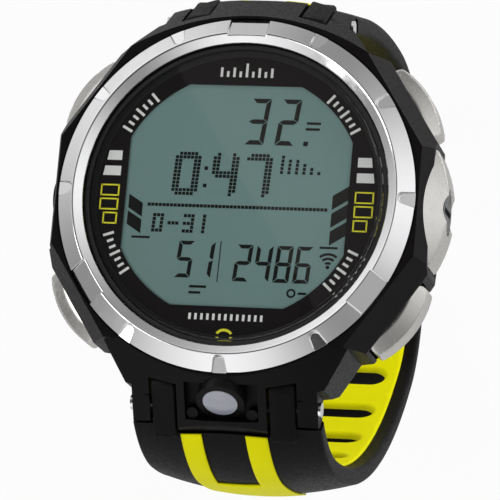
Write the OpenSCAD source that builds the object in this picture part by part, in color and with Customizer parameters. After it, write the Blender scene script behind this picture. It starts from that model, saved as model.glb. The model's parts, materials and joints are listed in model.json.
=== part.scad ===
// Wrist dive computer: round case, steel bezel, four push buttons, lamp, two-piece strap.
// Frame: origin at the centre of the back cover's face, +Z out of the dial, +Y towards 12 o'clock.

/* [Case] */
// Radius of the bezel's rim
bezel_r = 24; // [23.6:0.1:24.6]
// Height of the bezel's rim above the back cover's face
case_h = 15; // [14.8:0.1:16]
// Rise of the bezel's ridge above its rim
ridge_h = 1.6; // [1.3:0.1:1.9]
// Width of the printed ring around the display window
mask_w = 2.05; // [1.85:0.05:2.85]
// How far the square trims the round display window
window_trim = 1.8; // [1.6:0.1:2.8]

/* [Buttons] */
// Width of a button cap
button_w = 10.8; // [9:0.1:11]
// Inward travel of a button
button_travel = 0.8; // [0.5:0.05:0.9]
// Clock angle of the two upper buttons, in degrees from 12 o'clock
button_high = 56.5; // [55.5:0.5:57]
// Clock angle of the two lower buttons, in degrees from 12 o'clock
button_low = 123.8; // [123.2:0.2:124.4]
// Radius of the button stems
stem_r = 0.9; // [0.8:0.05:1]

/* [Strap] */
// Width of the strap
strap_w = 25.4; // [24.6:0.1:26]
// Thickness of the strap along its middle
strap_t = 4.2; // [3.8:0.1:4.4]
// Radius of the strap's long side curve
side_r = 66; // [62:1:70]
// Length of the slots across the strap
slot_len = 18.2; // [14:0.2:19]
// Width of the slots along the strap
slot_w = 4.4; // [3:0.1:5]
// Distance from one slot to the next
slot_pitch = 9.8; // [9.2:0.1:10]
// Radius of the lug pins
pin_r = 0.8; // [0.7:0.05:0.85]

/* [Fits] */
// Clearance between pieces that move past each other
gap = 0.3; // [0.25:0.05:0.35]
// Running clearance of a shaft in its hole
run = 0.06; // [0.04:0.01:0.08]

/* [Hidden] */
$fn = 96;
e = 0.01;
big = 80;
// Where two swept arcs meet, one runs on by lap degrees inside the other, thinner by nip all round
lap = 0.3;
nip = 0.02;

// Radii of the case
case_r = bezel_r + 1.2;
neck_r = bezel_r - 1.35;
lens_r = bezel_r - 4.3;
cav_r = bezel_r - 5.1;
ledge_r = bezel_r - 5.9;
cover_r = bezel_r - 1.0;
window_r = lens_r - 0.85 - mask_w;
window_half = window_r - window_trim;

// Heights of the case and of the display stack
seat_z = case_h - 1.5;
ledge_z = seat_z - 1.1;
neck_z = case_h + 0.1;
mask_t = 0.25;
lens_t = 1.85;
lcd_t = 1.7;
lcd_z = seat_z - lcd_t;
board_t = 1.0;
board_z = lcd_z - 1.4 - board_t;
board_r = cav_r - 2.1;
button_z = board_z - 0.6;

// Back cover and battery hatch
cover_t = 2.2;
hatch_r = cav_r - 3.5;
hatch_z = 0.3;
hatch_t = 1.2;
hatch_top = hatch_z + hatch_t;
plug_r = cav_r - 5.9;
cell_r = plug_r - 0.75;
cell_t = 3.0;
cell_z = hatch_top + 0.5;
tab_r = plug_r + 1.2;
floor_r = cav_r - 3.9;
floor_z = 3.2;
screw_ring = cover_r - 1.8;
screw_r = 0.75;
sensor_ring = cav_r - 2.1;
sensor_r = 1.5;

// Buttons, measured outwards from the dial's axis
clocks = [button_high, button_low, -button_low, -button_high];
pocket_d = bezel_r - 0.6;
cap_d = pocket_d + button_travel + 0.6;
cap_out = bezel_r + 4.4;
edge_d = bezel_r + 2.25;
edge_z = case_h - 4.1;
edge_tilt = atan(1.95 / 4.1);
cap_hi = edge_z - 0.3 - gap;
cap_lo = cap_hi - 5.6;
block_z = max(cap_lo - 1.7, cover_t + 0.8);
recess_d = pocket_d - 2.2;
seal_d = recess_d - 1.1;
stem_end = cav_r - 0.9;
clip_d = cav_r - 0.45;
spring_l = cap_d - recess_d - button_travel - 0.1;

// Right flank plate
flank_x = bezel_r + 0.4;
flank_r = 16.5;
flank_out = bezel_r + 3.8;
flank_half = bezel_r - 16.1;
flank_lo = button_z - 3.6;
flank_band = button_z + 2.3;
flank_hi = button_z + 5.1;
plug_z = button_z - 0.3;
port_r = 2.9;

// Lugs: pin, ears, fingers and the crowned slope over them
pin_y = bezel_r + 3.2;
pin_z = case_h - 5.7;
slope = 33.7;
slope_y = bezel_r + 0.4;
slope_z = case_h;
up_tilt = 22;
crown_lug = 36;
bracket_x = strap_w / 2 - 6.7;
ear_x = strap_w / 2 - 2.8;
ear_out = strap_w / 2 - 0.25;
bracket_r = 3.5;
ear_r = 2.4;
finger_r = 4.4;
head_r = 1;

// Strap curve: inner face seen from the side, outwards is -Y
half_w = strap_w / 2;
flat_x = 6.2;
inlay_t = 0.6;
lining_t = 0.7;
lining_x = slot_len / 2 + 1.6;
band_in = 2.95;
band_out = 5.8;
rib_r = 0.7;
low_pin = [-pin_y, pin_z];
up_pin = [-slope_y, slope_z] + [(slope_y - pin_y) * cos(up_tilt) - (pin_z - slope_z) * sin(up_tilt),
  (slope_y - pin_y) * sin(up_tilt) + (pin_z - slope_z) * cos(up_tilt)];
low_path = strap_path(low_pin, 38.5, 18, side_r, 48.5, 14.8);
up_path = strap_path(up_pin, 18, 104.7, 34, 38, 22);
tip_y = 8;
first_slot = 21.7 * side_r * PI / 180;

// Buckle
buckle_phi = -50;
buckle_pin_r = 0.75;
buckle_w = strap_w / 2 - 2.2;
arm_t = 1.8;
frame_x = buckle_w + gap + arm_t;

black = [0.1, 0.09, 0.1];
steel = [0.82, 0.83, 0.84];
yellow = [0.9, 0.88, 0.2];

// Strap curve helpers

// Returns [c1, r1, start angle, c2, r2, end angle, c3, r3] for the three arcs of a strap's inner face.
// pin is the lug pin, h the outward lean there, a2 the turn of the long side curve.
function strap_path(pin, h, r1, r2, a2, r3) =
  let (n = [-cos(h), sin(h)], d = [-sin(h), -cos(h)])
  let (s0 = pin - 0.93 * n + 1.32 * d)
  let (c1 = s0 - r1 * n)
  let (c2 = c1 + [r2 - r1, 0])
  let (c3 = c2 + (r3 - r2) * [cos(a2), sin(a2)])
  [c1, r1, -90 - h, c2, r2, a2 - 90, c3, r3];

// Sweeps a flat section about an axis along X through c, from angle a0 to a1 (0 is down, -90 is -Y).
module sweep_x(c, a0, a1) {
  translate([0, c[0], c[1]]) rotate([0, 90, 0]) rotate([0, 0, a0]) rotate_extrude(angle = a1 - a0) children();
}

// Moves to a point at angle a and radius r about an axis along X, with local Z pointing outwards.
module radial(c, r, a) {
  translate([0, c[0], c[1]]) rotate([180 + a, 0, 0]) translate([0, 0, r]) children();
}

module rod_x(y, z, r, x0, x1) {
  translate([x0, y, z]) rotate([0, 90, 0]) cylinder(r = r, h = x1 - x0);
}

// Flat along the middle, falling away in two slopes to thin edges
module strap_section(r, w, t) {
  polygon([[r, -w], [r + t - 1.9, -w], [r + t - 0.7, 3.2 - w], [r + t, -flat_x], [r + t, flat_x],
    [r + t - 0.7, w - 3.2], [r + t - 1.9, w], [r, w]]);
}

// Flat section of a band: radius r to r + t, half width x
module slab(r, t, x) {
  translate([r, -x]) square([t, 2 * x]);
}

// A rectangle with round corners, made of plain squares and circles
module round_rect(x0, x1, y0, y1, r) {
  translate([x0 + r, y0]) square([x1 - x0 - 2 * r, y1 - y0]);
  translate([x0, y0 + r]) square([x1 - x0, y1 - y0 - 2 * r]);
  for (x = [x0 + r, x1 - r], y = [y0 + r, y1 - r]) translate([x, y]) circle(r = r);
}

module stadium(l, w) {
  translate([w / 2 - l / 2, -w / 2]) square([l - w, w]);
  for (s = [-1, 1]) translate([s * (l - w) / 2, 0]) circle(d = w);
}

module ring(r0, r1, z0, z1) {
  translate([0, 0, z0]) difference() {
    cylinder(r = r1, h = z1 - z0);
    translate([0, 0, -1]) cylinder(r = r0, h = z1 - z0 + 2);
  }
}

module torus(rm, r) {
  rotate_extrude() translate([rm, 0]) circle(r = r);
}

// Turns to a clock angle, so that local X points outwards
module clock(c) {
  rotate([0, 0, 90 - c]) children();
}

// Local frame on the press axis of a button: Z outwards along the stem
module press_axis(c, d) {
  clock(c) translate([d, 0, button_z]) rotate([0, 90, 0]) children();
}

// Case

module case_2d() {
  polygon([
    [cav_r, cover_t], [cover_r + 0.1, cover_t], [cover_r + 0.1, 0.3], [cover_r + 0.9, 0.6],
    [case_r - 1.1, 3.6], [case_r - 0.2, 7], [case_r, case_h - 5.5], [case_r - 0.9, case_h - 2.4],
    [bezel_r + 0.3, case_h - 0.3], [bezel_r + 0.25, case_h], [bezel_r + 0.12, case_h],
    [bezel_r + 0.12, seat_z], [neck_r, seat_z], [neck_r, neck_z], [lens_r + 0.65, neck_z],
    [lens_r + 0.65, seat_z], [ledge_r, seat_z], [ledge_r, ledge_z], [cav_r, ledge_z]]);
}

// Frame on the lug's slope at its upper end: Y up the slope, Z square to it
module on_slope() {
  translate([0, -slope_y, slope_z]) rotate([slope, 0, 0]) children();
}

// Lugs are drawn for the 6 o'clock end; at the 12 o'clock end they tilt further down about the slope's top
module hang(up) {
  translate([0, -slope_y, slope_z]) rotate([up * up_tilt, 0, 0]) translate([0, slope_y, -slope_z]) children();
}

// Everything under the crowned slope
module lug_crown() {
  on_slope() translate([0, 0, -crown_lug]) rotate([90, 0, 0]) cylinder(r = crown_lug, h = big, center = true);
}

module side_profile(x0, x1) {
  translate([x0, 0, 0]) rotate([90, 0, 90]) linear_extrude(height = x1 - x0) children();
}

module ear_plan() {
  polygon([[ear_x, 1.9 - cav_r], [ear_x, -pin_y - 4], [ear_out, -pin_y - 4], [ear_out, -pin_y + 1.9],
    [ear_out + 0.9, -pin_y + 2.2], [ear_out + 3, -bezel_r + 2.6], [ear_out + 5.4, 1.9 - cav_r]]);
}

module ear() {
  intersection() {
    linear_extrude(height = case_h + 2) ear_plan();
    lug_crown();
    side_profile(0, 30) union() {
      translate([-pin_y, pin_z]) circle(r = ear_r);
      polygon([[1.9 - cav_r, 3.2], [1.9 - cav_r, case_h], [-pin_y, case_h], [-pin_y + 1.6, pin_z - 1.8],
        [-pin_y + 3, 3.6]]);
    }
  }
}

module bracket() {
  intersection() {
    lug_crown();
    side_profile(-bracket_x, bracket_x) union() {
      translate([-pin_y, pin_z]) circle(r = bracket_r);
      polygon([[1.9 - cav_r, 3.2], [1.9 - cav_r, case_h], [-pin_y - 2.8, case_h], [-pin_y - 2.8, pin_z],
        [-pin_y + 2.2, pin_z - 2.72], [-pin_y + 3, 3.6]]);
    }
  }
}

// Land between the bracket and the ears, above the finger slots
module bridge() {
  intersection() {
    lug_crown();
    side_profile(-ear_x - 0.2, ear_x + 0.2)
      polygon([[2.1 - cav_r, 8.5], [2.1 - cav_r, case_h - 0.01], [-pin_y + 1.2, case_h - 0.01],
        [-pin_y + 1.2, 8.5]]);
  }
}

module lug(up) {
  difference() {
    hang(up) {
      bracket();
      bridge();
      for (s = [0, 1]) mirror([s, 0, 0]) ear();
    }
    translate([-big / 2, -big / 2, case_h - 0.03]) cube([big, big, 20]);
    translate([0, 0, -1]) cylinder(r = cav_r + 1, h = big);
    translate([0, 0, seat_z]) cylinder(r = bezel_r + 0.12, h = big);
  }
}

// Dark pocket in the 6 o'clock bracket that the lamp's ring boss stands in
module lamp_pocket() {
  on_slope() translate([-4.9, -6.4, -1.8]) cube([9.8, 5.3, 5]);
}

// Lamp axis: local Z points out of the lamp
module lamp_axis() {
  on_slope() translate([0, -3.7, 0.1]) rotate([26.3, 0, 0]) children();
}

module lamp_boss() {
  intersection() {
    lamp_axis() translate([0, 0, -3]) cylinder(r = 3.2, h = 3);
    translate([0, 0, pin_z]) linear_extrude(height = 20) translate([-6, -bezel_r - 8]) square([12, 7.6]);
  }
  for (s = [-1, 1]) on_slope() translate([s * 4, -5.6, -2]) cylinder(r = 0.75, h = 1.3);
}

// Everything behind the flat shoulder at clock angle c: it falls from the bezel to a straight edge
module facet(c, d) {
  clock(c) intersection() {
    translate([-big / 2, -big / 2, block_z]) cube([big / 2 + d, big, case_h - 0.05 - block_z]);
    translate([edge_d, 0, edge_z]) rotate([0, -edge_tilt, 0]) translate([-big, -big / 2, -big / 2])
      cube([big, big, big]);
  }
}

// Side of the case: three flat shoulders over two buttons and the flank, which reaches d
module side_block(d) {
  difference() {
    intersection() {
      facet(button_high, edge_d);
      facet(90, d);
      facet(button_low, edge_d);
      translate([bezel_r - 12, 4.2 - bezel_r, 0]) cube([20, 2 * bezel_r - 8.4, big]);
      translate([0, 0, block_z - 0.1]) cylinder(r1 = bezel_r + 1.1, r2 = bezel_r + 15.1, h = 14);
    }
    translate([0, 0, -1]) cylinder(r = cav_r + 1.02, h = big);
    translate([0, 0, seat_z - 0.02]) cylinder(r = bezel_r + 0.15, h = big);
  }
}

// Bowed flank plate; o is added all round for its pocket
module flank(half, o, reach) {
  intersection() {
    translate([flank_out - flank_r, 0, 0]) rotate_extrude()
      polygon([[0, flank_lo - o], [flank_r - 0.9 + reach, flank_lo - o], [flank_r + reach, flank_lo + 1.1],
        [flank_r + reach, flank_band + o], [flank_r, flank_band + o], [flank_r - 3.15, flank_hi + o],
        [0, flank_hi + o]]);
    translate([flank_x, -half - o, 0]) cube([10, 2 * half + 2 * o, case_h]);
  }
}

module button_cuts(c) {
  clock(c) translate([pocket_d, -button_w / 2 - gap, cap_lo - gap])
    cube([cap_out - pocket_d + 5, button_w + 2 * gap, cap_hi - cap_lo + 2 * gap]);
  press_axis(c, recess_d) cylinder(r = 2.2, h = cap_d - recess_d + 0.1);
  press_axis(c, seal_d) cylinder(r = stem_r + 0.9, h = 3);
  press_axis(c, cav_r - 2) cylinder(r = stem_r + run, h = 6);
}

module case() {
  color(black) difference() {
    union() {
      difference() {
        union() {
          rotate_extrude() case_2d();
          for (s = [0, 1]) mirror([0, s, 0]) lug(s);
          side_block(bezel_r + 1.6);
          mirror([1, 0, 0]) side_block(bezel_r + 1);
        }
        lamp_pocket();
        // flat left flank
        mirror([1, 0, 0]) translate([flank_x + 0.3, -flank_half, flank_lo])
          cube([10, 2 * flank_half, case_h - 0.5 - flank_lo]);
        // finger slots beside the brackets
        for (s = [0, 1], t = [0, 1]) mirror([0, s, 0]) hang(s) mirror([t, 0, 0])
          rod_x(-pin_y, pin_z, finger_r + gap + 0.05, bracket_x, ear_x);
      }
      lamp_boss();
      // plain plug in the left flank
      translate([1 - bezel_r, 0, button_z]) rotate([0, -90, 0]) cylinder(r = 2.6, h = 2.7);
    }
    for (c = clocks) button_cuts(c);
    // right flank pocket, open outwards
    flank(flank_half, 0.1, 6);
    for (y = [-1.4, 0, 1.4]) translate([flank_x - 1.2, y, plug_z]) rotate([0, 90, 0])
      cylinder(r = 0.42, h = 2);
    // pin holes through the ears and brackets
    for (s = [0, 1]) mirror([0, s, 0]) hang(s) rod_x(-pin_y, pin_z, pin_r + 0.02, -14, 14);
    // lamp hole in two steps
    lamp_axis() translate([0, 0, -1.2]) cylinder(r = 2.35, h = 4);
    lamp_axis() translate([0, 0, -2.6]) cylinder(r = 1.45, h = 3);
    // back cover's screw holes and seal groove
    for (a = [45:90:315]) rotate([0, 0, a]) translate([screw_ring, 0, 0])
      cylinder(r = screw_r + 0.03, h = 6.6);
    ring(cav_r + 0.5, cav_r + 1.3, cover_t - 1, cover_t + 0.6);
  }
}

// Bezel and window

notches = [24.3, 56, 90, 146.7, 180, -146.7, -90, -56, -24.3];
flats = [0, 124, -124];

module bezel() {
  color(steel) difference() {
    rotate_extrude() polygon([[neck_r + 0.05, seat_z + 0.05], [bezel_r, seat_z + 0.05], [bezel_r, case_h],
      [bezel_r - 2.3, case_h + ridge_h], [bezel_r - 3.55, case_h + ridge_h - 0.85],
      [bezel_r - 3.55, neck_z], [neck_r + 0.05, neck_z]]);
    for (c = notches) clock(c) translate([bezel_r - 2.1, 0, case_h + 0.72]) rotate([0, 21, 0])
      linear_extrude(height = 3) {
        translate([0.75, 0]) circle(r = 0.75);
        polygon([[0.75, -0.75], [0.75, 0.75], [3, 1.15], [3, -1.15]]);
      }
    for (c = flats) clock(c) translate([bezel_r - 2.8, -2.6, case_h + ridge_h - 0.06]) rotate([0, 34.8, 0])
      cube([6, 5.2, 3]);
  }
}

module lens() {
  color([0.75, 0.85, 0.85, 0.3]) translate([0, 0, seat_z + mask_t]) rotate_extrude()
    polygon([[0, 0], [lens_r, 0], [lens_r, lens_t - 0.35], [lens_r - 0.35, lens_t], [0, lens_t]]);
}

module lens_gasket() {
  color(black) rotate_extrude() polygon([[lens_r - 0.8, seat_z], [lens_r + 0.6, seat_z],
    [lens_r + 0.6, neck_z - 0.1], [lens_r + 0.05, neck_z - 0.1], [lens_r + 0.05, seat_z + mask_t],
    [lens_r - 0.8, seat_z + mask_t]]);
}

module window_2d(o) {
  intersection() {
    circle(r = window_r + o);
    square(2 * (window_half + o), center = true);
  }
}

module dial_mask() {
  color([0.13, 0.11, 0.12]) translate([0, 0, seat_z]) linear_extrude(height = mask_t) difference() {
    circle(r = lens_r - 0.85);
    window_2d(0);
  }
}

module lcd_panel() {
  color([0.45, 0.57, 0.55]) translate([0, 0, lcd_z]) linear_extrude(height = lcd_t) window_2d(0.8);
}

module light_2d(o) {
  square([2 * (cav_r * 0.7143 + o), 2 * (cav_r * 0.6614 + o)], center = true);
}

module strip_2d(o) {
  for (s = [-1, 1]) translate([0, s * (cav_r - 4.7)])
    square([2 * (cav_r * 0.4762 + o), 1.2 + 2 * o], center = true);
}

module lcd_frame() {
  color("white") difference() {
    translate([0, 0, board_z + board_t]) cylinder(r = cav_r - 0.2, h = ledge_z - board_z - board_t - 0.05);
    translate([0, 0, lcd_z]) linear_extrude(height = 5) window_2d(0.9);
    translate([0, 0, board_z]) linear_extrude(height = 5) light_2d(0.1);
    translate([0, 0, board_z]) linear_extrude(height = 5) strip_2d(0.1);
  }
}

module backlight() {
  color([0.95, 0.95, 0.9]) translate([0, 0, board_z + board_t]) linear_extrude(height = 1.4) light_2d(0);
}

module zebra_strips() {
  color([0.3, 0.3, 0.32]) translate([0, 0, board_z + board_t]) linear_extrude(height = 1.4) strip_2d(0);
}

// Electronics

module main_board() {
  color([0.1, 0.35, 0.2]) translate([0, 0, board_z]) cylinder(r = board_r, h = board_t);
}

module chips() {
  color([0.12, 0.12, 0.13]) {
    translate([6.2 - board_r, board_r - 10.3, board_z - 0.8]) cube([4, 4, 0.8]);
    translate([6.2 - board_r, 6.3 - board_r, board_z - 0.8]) cube([3, 4, 0.8]);
    translate([board_r - 8.8, 5.8 - board_r, board_z - 0.8]) cube([2.4, 2.4, 0.8]);
  }
}

module side_switches() {
  color([0.7, 0.7, 0.72]) for (c = clocks) clock(c) {
    translate([board_r - 2.6, -1.7, board_z - 1.15]) cube([2.2, 3.4, 1.15]);
    translate([board_r - 0.5, 0, button_z]) rotate([0, 90, 0])
      cylinder(r = 0.5, h = stem_end - button_travel - 0.1 - board_r + 0.5);
  }
}

module piezo() {
  color([0.8, 0.65, 0.3]) translate([0, 0, board_z - 1.2]) cylinder(r = board_r - 9.6, h = 0.35);
}

module radio_coil() {
  color([0.45, 0.25, 0.12]) translate([-5, 2.3 - cav_r, floor_z + 1.3]) rotate([0, 90, 0])
    cylinder(r = 1.1, h = 10);
}

module chassis() {
  color([0.2, 0.2, 0.22]) difference() {
    union() {
      ring(floor_r, cav_r - 0.4, cover_t, floor_z + 1);
      translate([0, 0, floor_z]) cylinder(r = cav_r - 0.4, h = button_z - 2.4 - floor_z);
      translate([0, 0, floor_z]) cylinder(r = board_r - 0.6, h = board_z - 1.2 - floor_z);
      for (a = [0:90:270]) rotate([0, 0, a]) translate([board_r - 3.2, 0, floor_z])
        cylinder(r = 1, h = board_z - floor_z);
    }
    translate([0, 0, floor_z - 1]) cylinder(r = cell_r + 0.3, h = cell_z + cell_t + 0.3 - floor_z + 1);
    // bays for the sensor and the coil
    translate([-sensor_ring, 0, 0]) cylinder(r = sensor_r + 0.1, h = floor_z + 3.1);
    translate([-5.2, -cav_r - 1, floor_z - 2]) cube([10.4, 4.6, 4.6]);
  }
}

module coin_cell() {
  color([0.75, 0.76, 0.78]) translate([0, 0, cell_z]) {
    cylinder(r = cell_r - 1, h = cell_t);
    translate([0, 0, 0.4]) cylinder(r = cell_r, h = cell_t - 0.4);
  }
}

module cell_contact() {
  color([0.85, 0.7, 0.35]) translate([0, 0, cell_z + cell_t]) linear_extrude(height = 0.3) {
    difference() {
      circle(r = 6);
      circle(r = 4);
    }
    translate([-1.5, 4.5]) square([3, 6]);
  }
}

// Back cover and hatch

module caseback() {
  color([0.16, 0.16, 0.17]) difference() {
    cylinder(r = cover_r, h = cover_t);
    translate([0, 0, -1]) cylinder(r = hatch_r + 0.15, h = 1 + hatch_top);
    translate([0, 0, -1]) cylinder(r = plug_r + 0.1, h = 10);
    // entry slots of the hatch's three tabs
    for (a = [60:120:300]) rotate([0, 0, a - 17]) rotate_extrude(angle = 34)
      translate([plug_r - 1, hatch_top - 0.5]) square([tab_r + 1.2 - plug_r, 2]);
    // seal groove under the hatch's flange
    ring(hatch_r - 0.8, hatch_r - 0.2, hatch_top - 0.5, hatch_top + 0.4);
    // screw heads and shanks
    for (a = [45:90:315]) rotate([0, 0, a]) translate([screw_ring, 0, -1]) {
      cylinder(r = 1.5, h = 2.1);
      cylinder(r = screw_r + 0.1, h = 6);
    }
    // water ports of the pressure sensor
    for (a = [0:90:270]) translate([-sensor_ring, 0, -1]) rotate([0, 0, a]) translate([0.55, 0, 0])
      cylinder(r = 0.3, h = 6);
  }
}

module caseback_seal() {
  color(black) translate([0, 0, cover_t + 0.3]) torus(cav_r + 0.9, 0.3);
}

module caseback_screws() {
  color(steel) for (a = [45:90:315]) rotate([0, 0, a]) translate([screw_ring, 0, 0]) difference() {
    union() {
      translate([0, 0, 0.3]) cylinder(r = 1.35, h = 0.8);
      translate([0, 0, 1]) cylinder(r = screw_r, h = 5);
    }
    for (b = [0, 90]) rotate([0, 0, b]) translate([-0.9, -0.16, 0]) cube([1.8, 0.32, 0.7]);
  }
}

module battery_hatch() {
  color([0.2, 0.2, 0.21]) {
    difference() {
      union() {
        translate([0, 0, hatch_z]) cylinder(r = hatch_r, h = hatch_t);
        ring(cell_r + 0.2, plug_r, hatch_top - 0.1, floor_z - 0.3);
      }
      translate([-8, -0.9, -1]) cube([16, 1.8, 1 + hatch_z + 0.7]);
    }
    for (a = [0:120:240]) rotate([0, 0, a - 14]) rotate_extrude(angle = 28)
      translate([plug_r - 0.2, hatch_top + 0.8]) square([tab_r - plug_r + 0.2, 0.6]);
  }
}

module hatch_contact() {
  color([0.85, 0.7, 0.35]) translate([0, 0, hatch_top]) cylinder(r = cell_r - 4.25, h = 0.25);
}

module hatch_seal() {
  color(black) translate([0, 0, hatch_top + 0.2]) torus(hatch_r - 0.5, 0.2);
}

module pressure_sensor() {
  color([0.8, 0.8, 0.82]) translate([-sensor_ring, 0, cover_t + 0.45]) cylinder(r = sensor_r, h = 3.4);
}

module sensor_seal() {
  color(black) translate([-sensor_ring, 0, cover_t]) ring(sensor_r - 0.45, sensor_r, 0, 0.45);
}

// Right flank

module side_plate() {
  color(steel) difference() {
    flank(flank_half, 0, 0);
    translate([flank_x - 1, 0, plug_z]) rotate([0, 90, 0]) cylinder(r = port_r + 0.2, h = 12);
  }
}

module port_plug() {
  color([0.35, 0.35, 0.37]) difference() {
    translate([flank_x, 0, plug_z]) rotate([0, 90, 0]) cylinder(r = port_r, h = flank_out - flank_x - 0.6);
    translate([flank_out - 1.1, -0.4, plug_z - 2.2]) cube([2, 0.8, 4.4]);
  }
}

module port_pins() {
  color([0.85, 0.7, 0.35]) for (y = [-1.4, 0, 1.4]) translate([flank_x - 1.2, y, plug_z]) rotate([0, 90, 0])
    cylinder(r = 0.38, h = 1.2);
}

// Lamp

module lamp_lens() {
  color([0.85, 0.87, 0.92]) lamp_axis() translate([0, 0, -1.2]) intersection() {
    cylinder(r = 2.3, h = 1.6);
    translate([0, 0, -6.2]) sphere(r = 7.8);
  }
}

module lamp_emitter() {
  color([0.95, 0.95, 0.85]) lamp_axis() translate([0, 0, -2.6]) cylinder(r = 1.4, h = 1.4);
}

// Lug pins with a head at each end

module lug_pins() {
  color(steel) for (s = [0, 1]) mirror([0, s, 0]) hang(s) {
    rod_x(-pin_y, pin_z, pin_r, -ear_out, ear_out);
    for (t = [0, 1]) mirror([t, 0, 0]) rod_x(-pin_y, pin_z, head_r, ear_out, ear_out + 0.35);
  }
}

// Buttons

module cap(c) {
  color(steel) clock(c) intersection() {
    translate([0, 0, cap_lo]) linear_extrude(height = cap_hi - cap_lo) intersection() {
      round_rect(cap_d - 2, cap_out, -button_w / 2, button_w / 2, 1);
      translate([cap_out - 12.4, 0]) circle(r = 12.4);
      translate([cap_d, -10]) square([10, 20]);
    }
    rotate_extrude() polygon([[10, cap_lo], [cap_out - 0.8, cap_lo], [cap_out + 0.1, cap_lo + 1],
      [cap_out + 0.1, cap_hi - 1.5], [cap_out - 2, cap_hi], [10, cap_hi]]);
  }
}

module stem(c) {
  color([0.7, 0.71, 0.72]) press_axis(c, stem_end) cylinder(r = stem_r, h = cap_d - stem_end);
}

module spring(c) {
  color([0.75, 0.75, 0.76]) press_axis(c, cap_d - spring_l)
    linear_extrude(height = spring_l, twist = -1260, slices = 56, $fn = 6)
      translate([1.5, 0]) circle(r = 0.24, $fn = 6);
}

module clip(c) {
  color([0.6, 0.6, 0.62]) press_axis(c, clip_d) ring(stem_r, stem_r + 0.5, 0, 0.35);
}

module shaft_seals() {
  color(black) for (c = clocks) press_axis(c, seal_d + 0.36) torus(stem_r + 0.42, 0.36);
}

// Strap halves, drawn for the 6 o'clock end; the 12 o'clock end is mirrored

module strap_run(p, w, t, a0, a1, a2) {
  sweep_x(p[0], a0, -90) strap_section(p[1], w, t);
  sweep_x(p[3], -90 - lap, a1 + lap) strap_section(p[4] + nip, w - nip, t - 2 * nip);
  sweep_x(p[6], a1, a2) strap_section(p[7], w, t);
}

module fingers() {
  for (s = [0, 1]) mirror([s, 0, 0]) intersection() {
    lug_crown();
    side_profile(bracket_x + gap, ear_x - gap) union() {
      translate([-pin_y, pin_z]) circle(r = bracket_r);
      intersection() {
        translate([-pin_y, pin_z]) circle(r = finger_r);
        translate([-pin_y, pin_z]) rotate(slope) translate([-10, -0.5]) square([20, 10]);
      }
    }
  }
}

module lug_clearance() {
  rod_x(-pin_y, pin_z, bracket_r + gap, -bracket_x - gap, bracket_x + gap);
  for (s = [0, 1]) mirror([s, 0, 0]) rod_x(-pin_y, pin_z, ear_r + gap, ear_x - gap, 20);
}

// U-shaped band in the outer face: a wide band less the bare strip along its middle.
// up is how far the shape stands out of the face, for cutting its recess.
module inlay(p, a_in, a_end, up) {
  difference() {
    union() {
      sweep_x(p[0], p[2] - 40 / p[1], lap - 90)
        slab(p[1] + strap_t - inlay_t + nip, inlay_t + up - 2 * nip, band_out - nip);
      sweep_x(p[3], -90 - 2 * lap, a_end) slab(p[4] + strap_t - inlay_t, inlay_t + up, band_out);
    }
    sweep_x(p[0], p[2] - 100 / p[1], a_in) slab(p[1] - 4, 12, band_in);
  }
}

module ribs(p) {
  for (s = [5:2.5:10]) radial(p[0], p[1], p[2] + s / p[1] * 180 / PI)
    translate([1 - half_w, 0, 0]) rotate([0, 90, 0]) cylinder(r = rib_r, h = strap_w - 2);
}

// Lower strap: long half with the slots and a round tip

low_bottom = low_path[6][1] - low_path[7];

module flat_run(x, t0, t1, y1) {
  translate([-x, low_path[6][0] - gap, low_bottom - t1]) cube([2 * x, y1 - low_path[6][0] + gap, t1 - t0]);
}

module flat_end() {
  translate([0, low_path[6][0] - gap, low_bottom]) rotate([-90, 0, 0])
    linear_extrude(height = tip_y - low_path[6][0] + gap) rotate(90)
      strap_section(nip, half_w - nip, strap_t - 2 * nip);
}

module tip_plan() {
  translate([0, 0, low_bottom - 10]) linear_extrude(height = 20) {
    translate([0, tip_y - 14]) circle(r = 14);
    translate([-20, -60]) square([40, 46 + tip_y]);
  }
}

// Front view outline that narrows the strap towards its end
module taper() {
  rotate([90, 0, 0]) linear_extrude(height = 160, center = true) polygon([[-half_w, 30], [half_w, 30],
    [half_w, -16], [half_w - 0.3, low_bottom - 8], [0.3 - half_w, low_bottom - 8], [-half_w, -16]]);
}

module lower_lining(up) {
  difference() {
    union() {
      sweep_x(low_path[3], -85, low_path[5] + lap)
        slab(side_r - up + nip, lining_t + up - 2 * nip, lining_x - nip);
      sweep_x(low_path[6], low_path[5], 0) slab(low_path[7] - up, lining_t + up, lining_x);
      flat_run(lining_x - nip, nip - up, lining_t - nip, tip_y - 5.3);
    }
    lower_slots();
  }
}

// Slots spaced evenly along the long side curve
module lower_slots() {
  for (i = [0:3]) radial(low_path[3], side_r - 3, (first_slot + i * slot_pitch) / side_r * 180 / PI - 90)
    linear_extrude(height = 12) stadium(slot_len, slot_w);
}

module strap_lower() {
  color(black) difference() {
    union() {
      difference() {
        intersection() {
          union() {
            strap_run(low_path, half_w, strap_t, low_path[2], low_path[5], 0);
            intersection() {
              flat_end();
              tip_plan();
            }
          }
          taper();
        }
        lug_clearance();
      }
      fingers();
      ribs(low_path);
    }
    rod_x(-pin_y, pin_z, pin_r + run, -14, 14);
    inlay(low_path, -92.9, -78, 1);
    lower_lining(1);
    lower_slots();
  }
}

module lining_lower() {
  color(yellow) lower_lining(0);
}

module inlay_lower() {
  color(yellow) difference() {
    inlay(low_path, -92.9, -78, 0);
    lug_clearance();
  }
}

// Upper strap: short half with the buckle

buckle_at = up_path[6] + (up_path[7] + strap_t / 2) * [sin(buckle_phi), -cos(buckle_phi)];

module upper_lining(up) {
  sweep_x(up_path[3], -86, -56) slab(up_path[4] - up, lining_t + up, lining_x);
}

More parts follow.
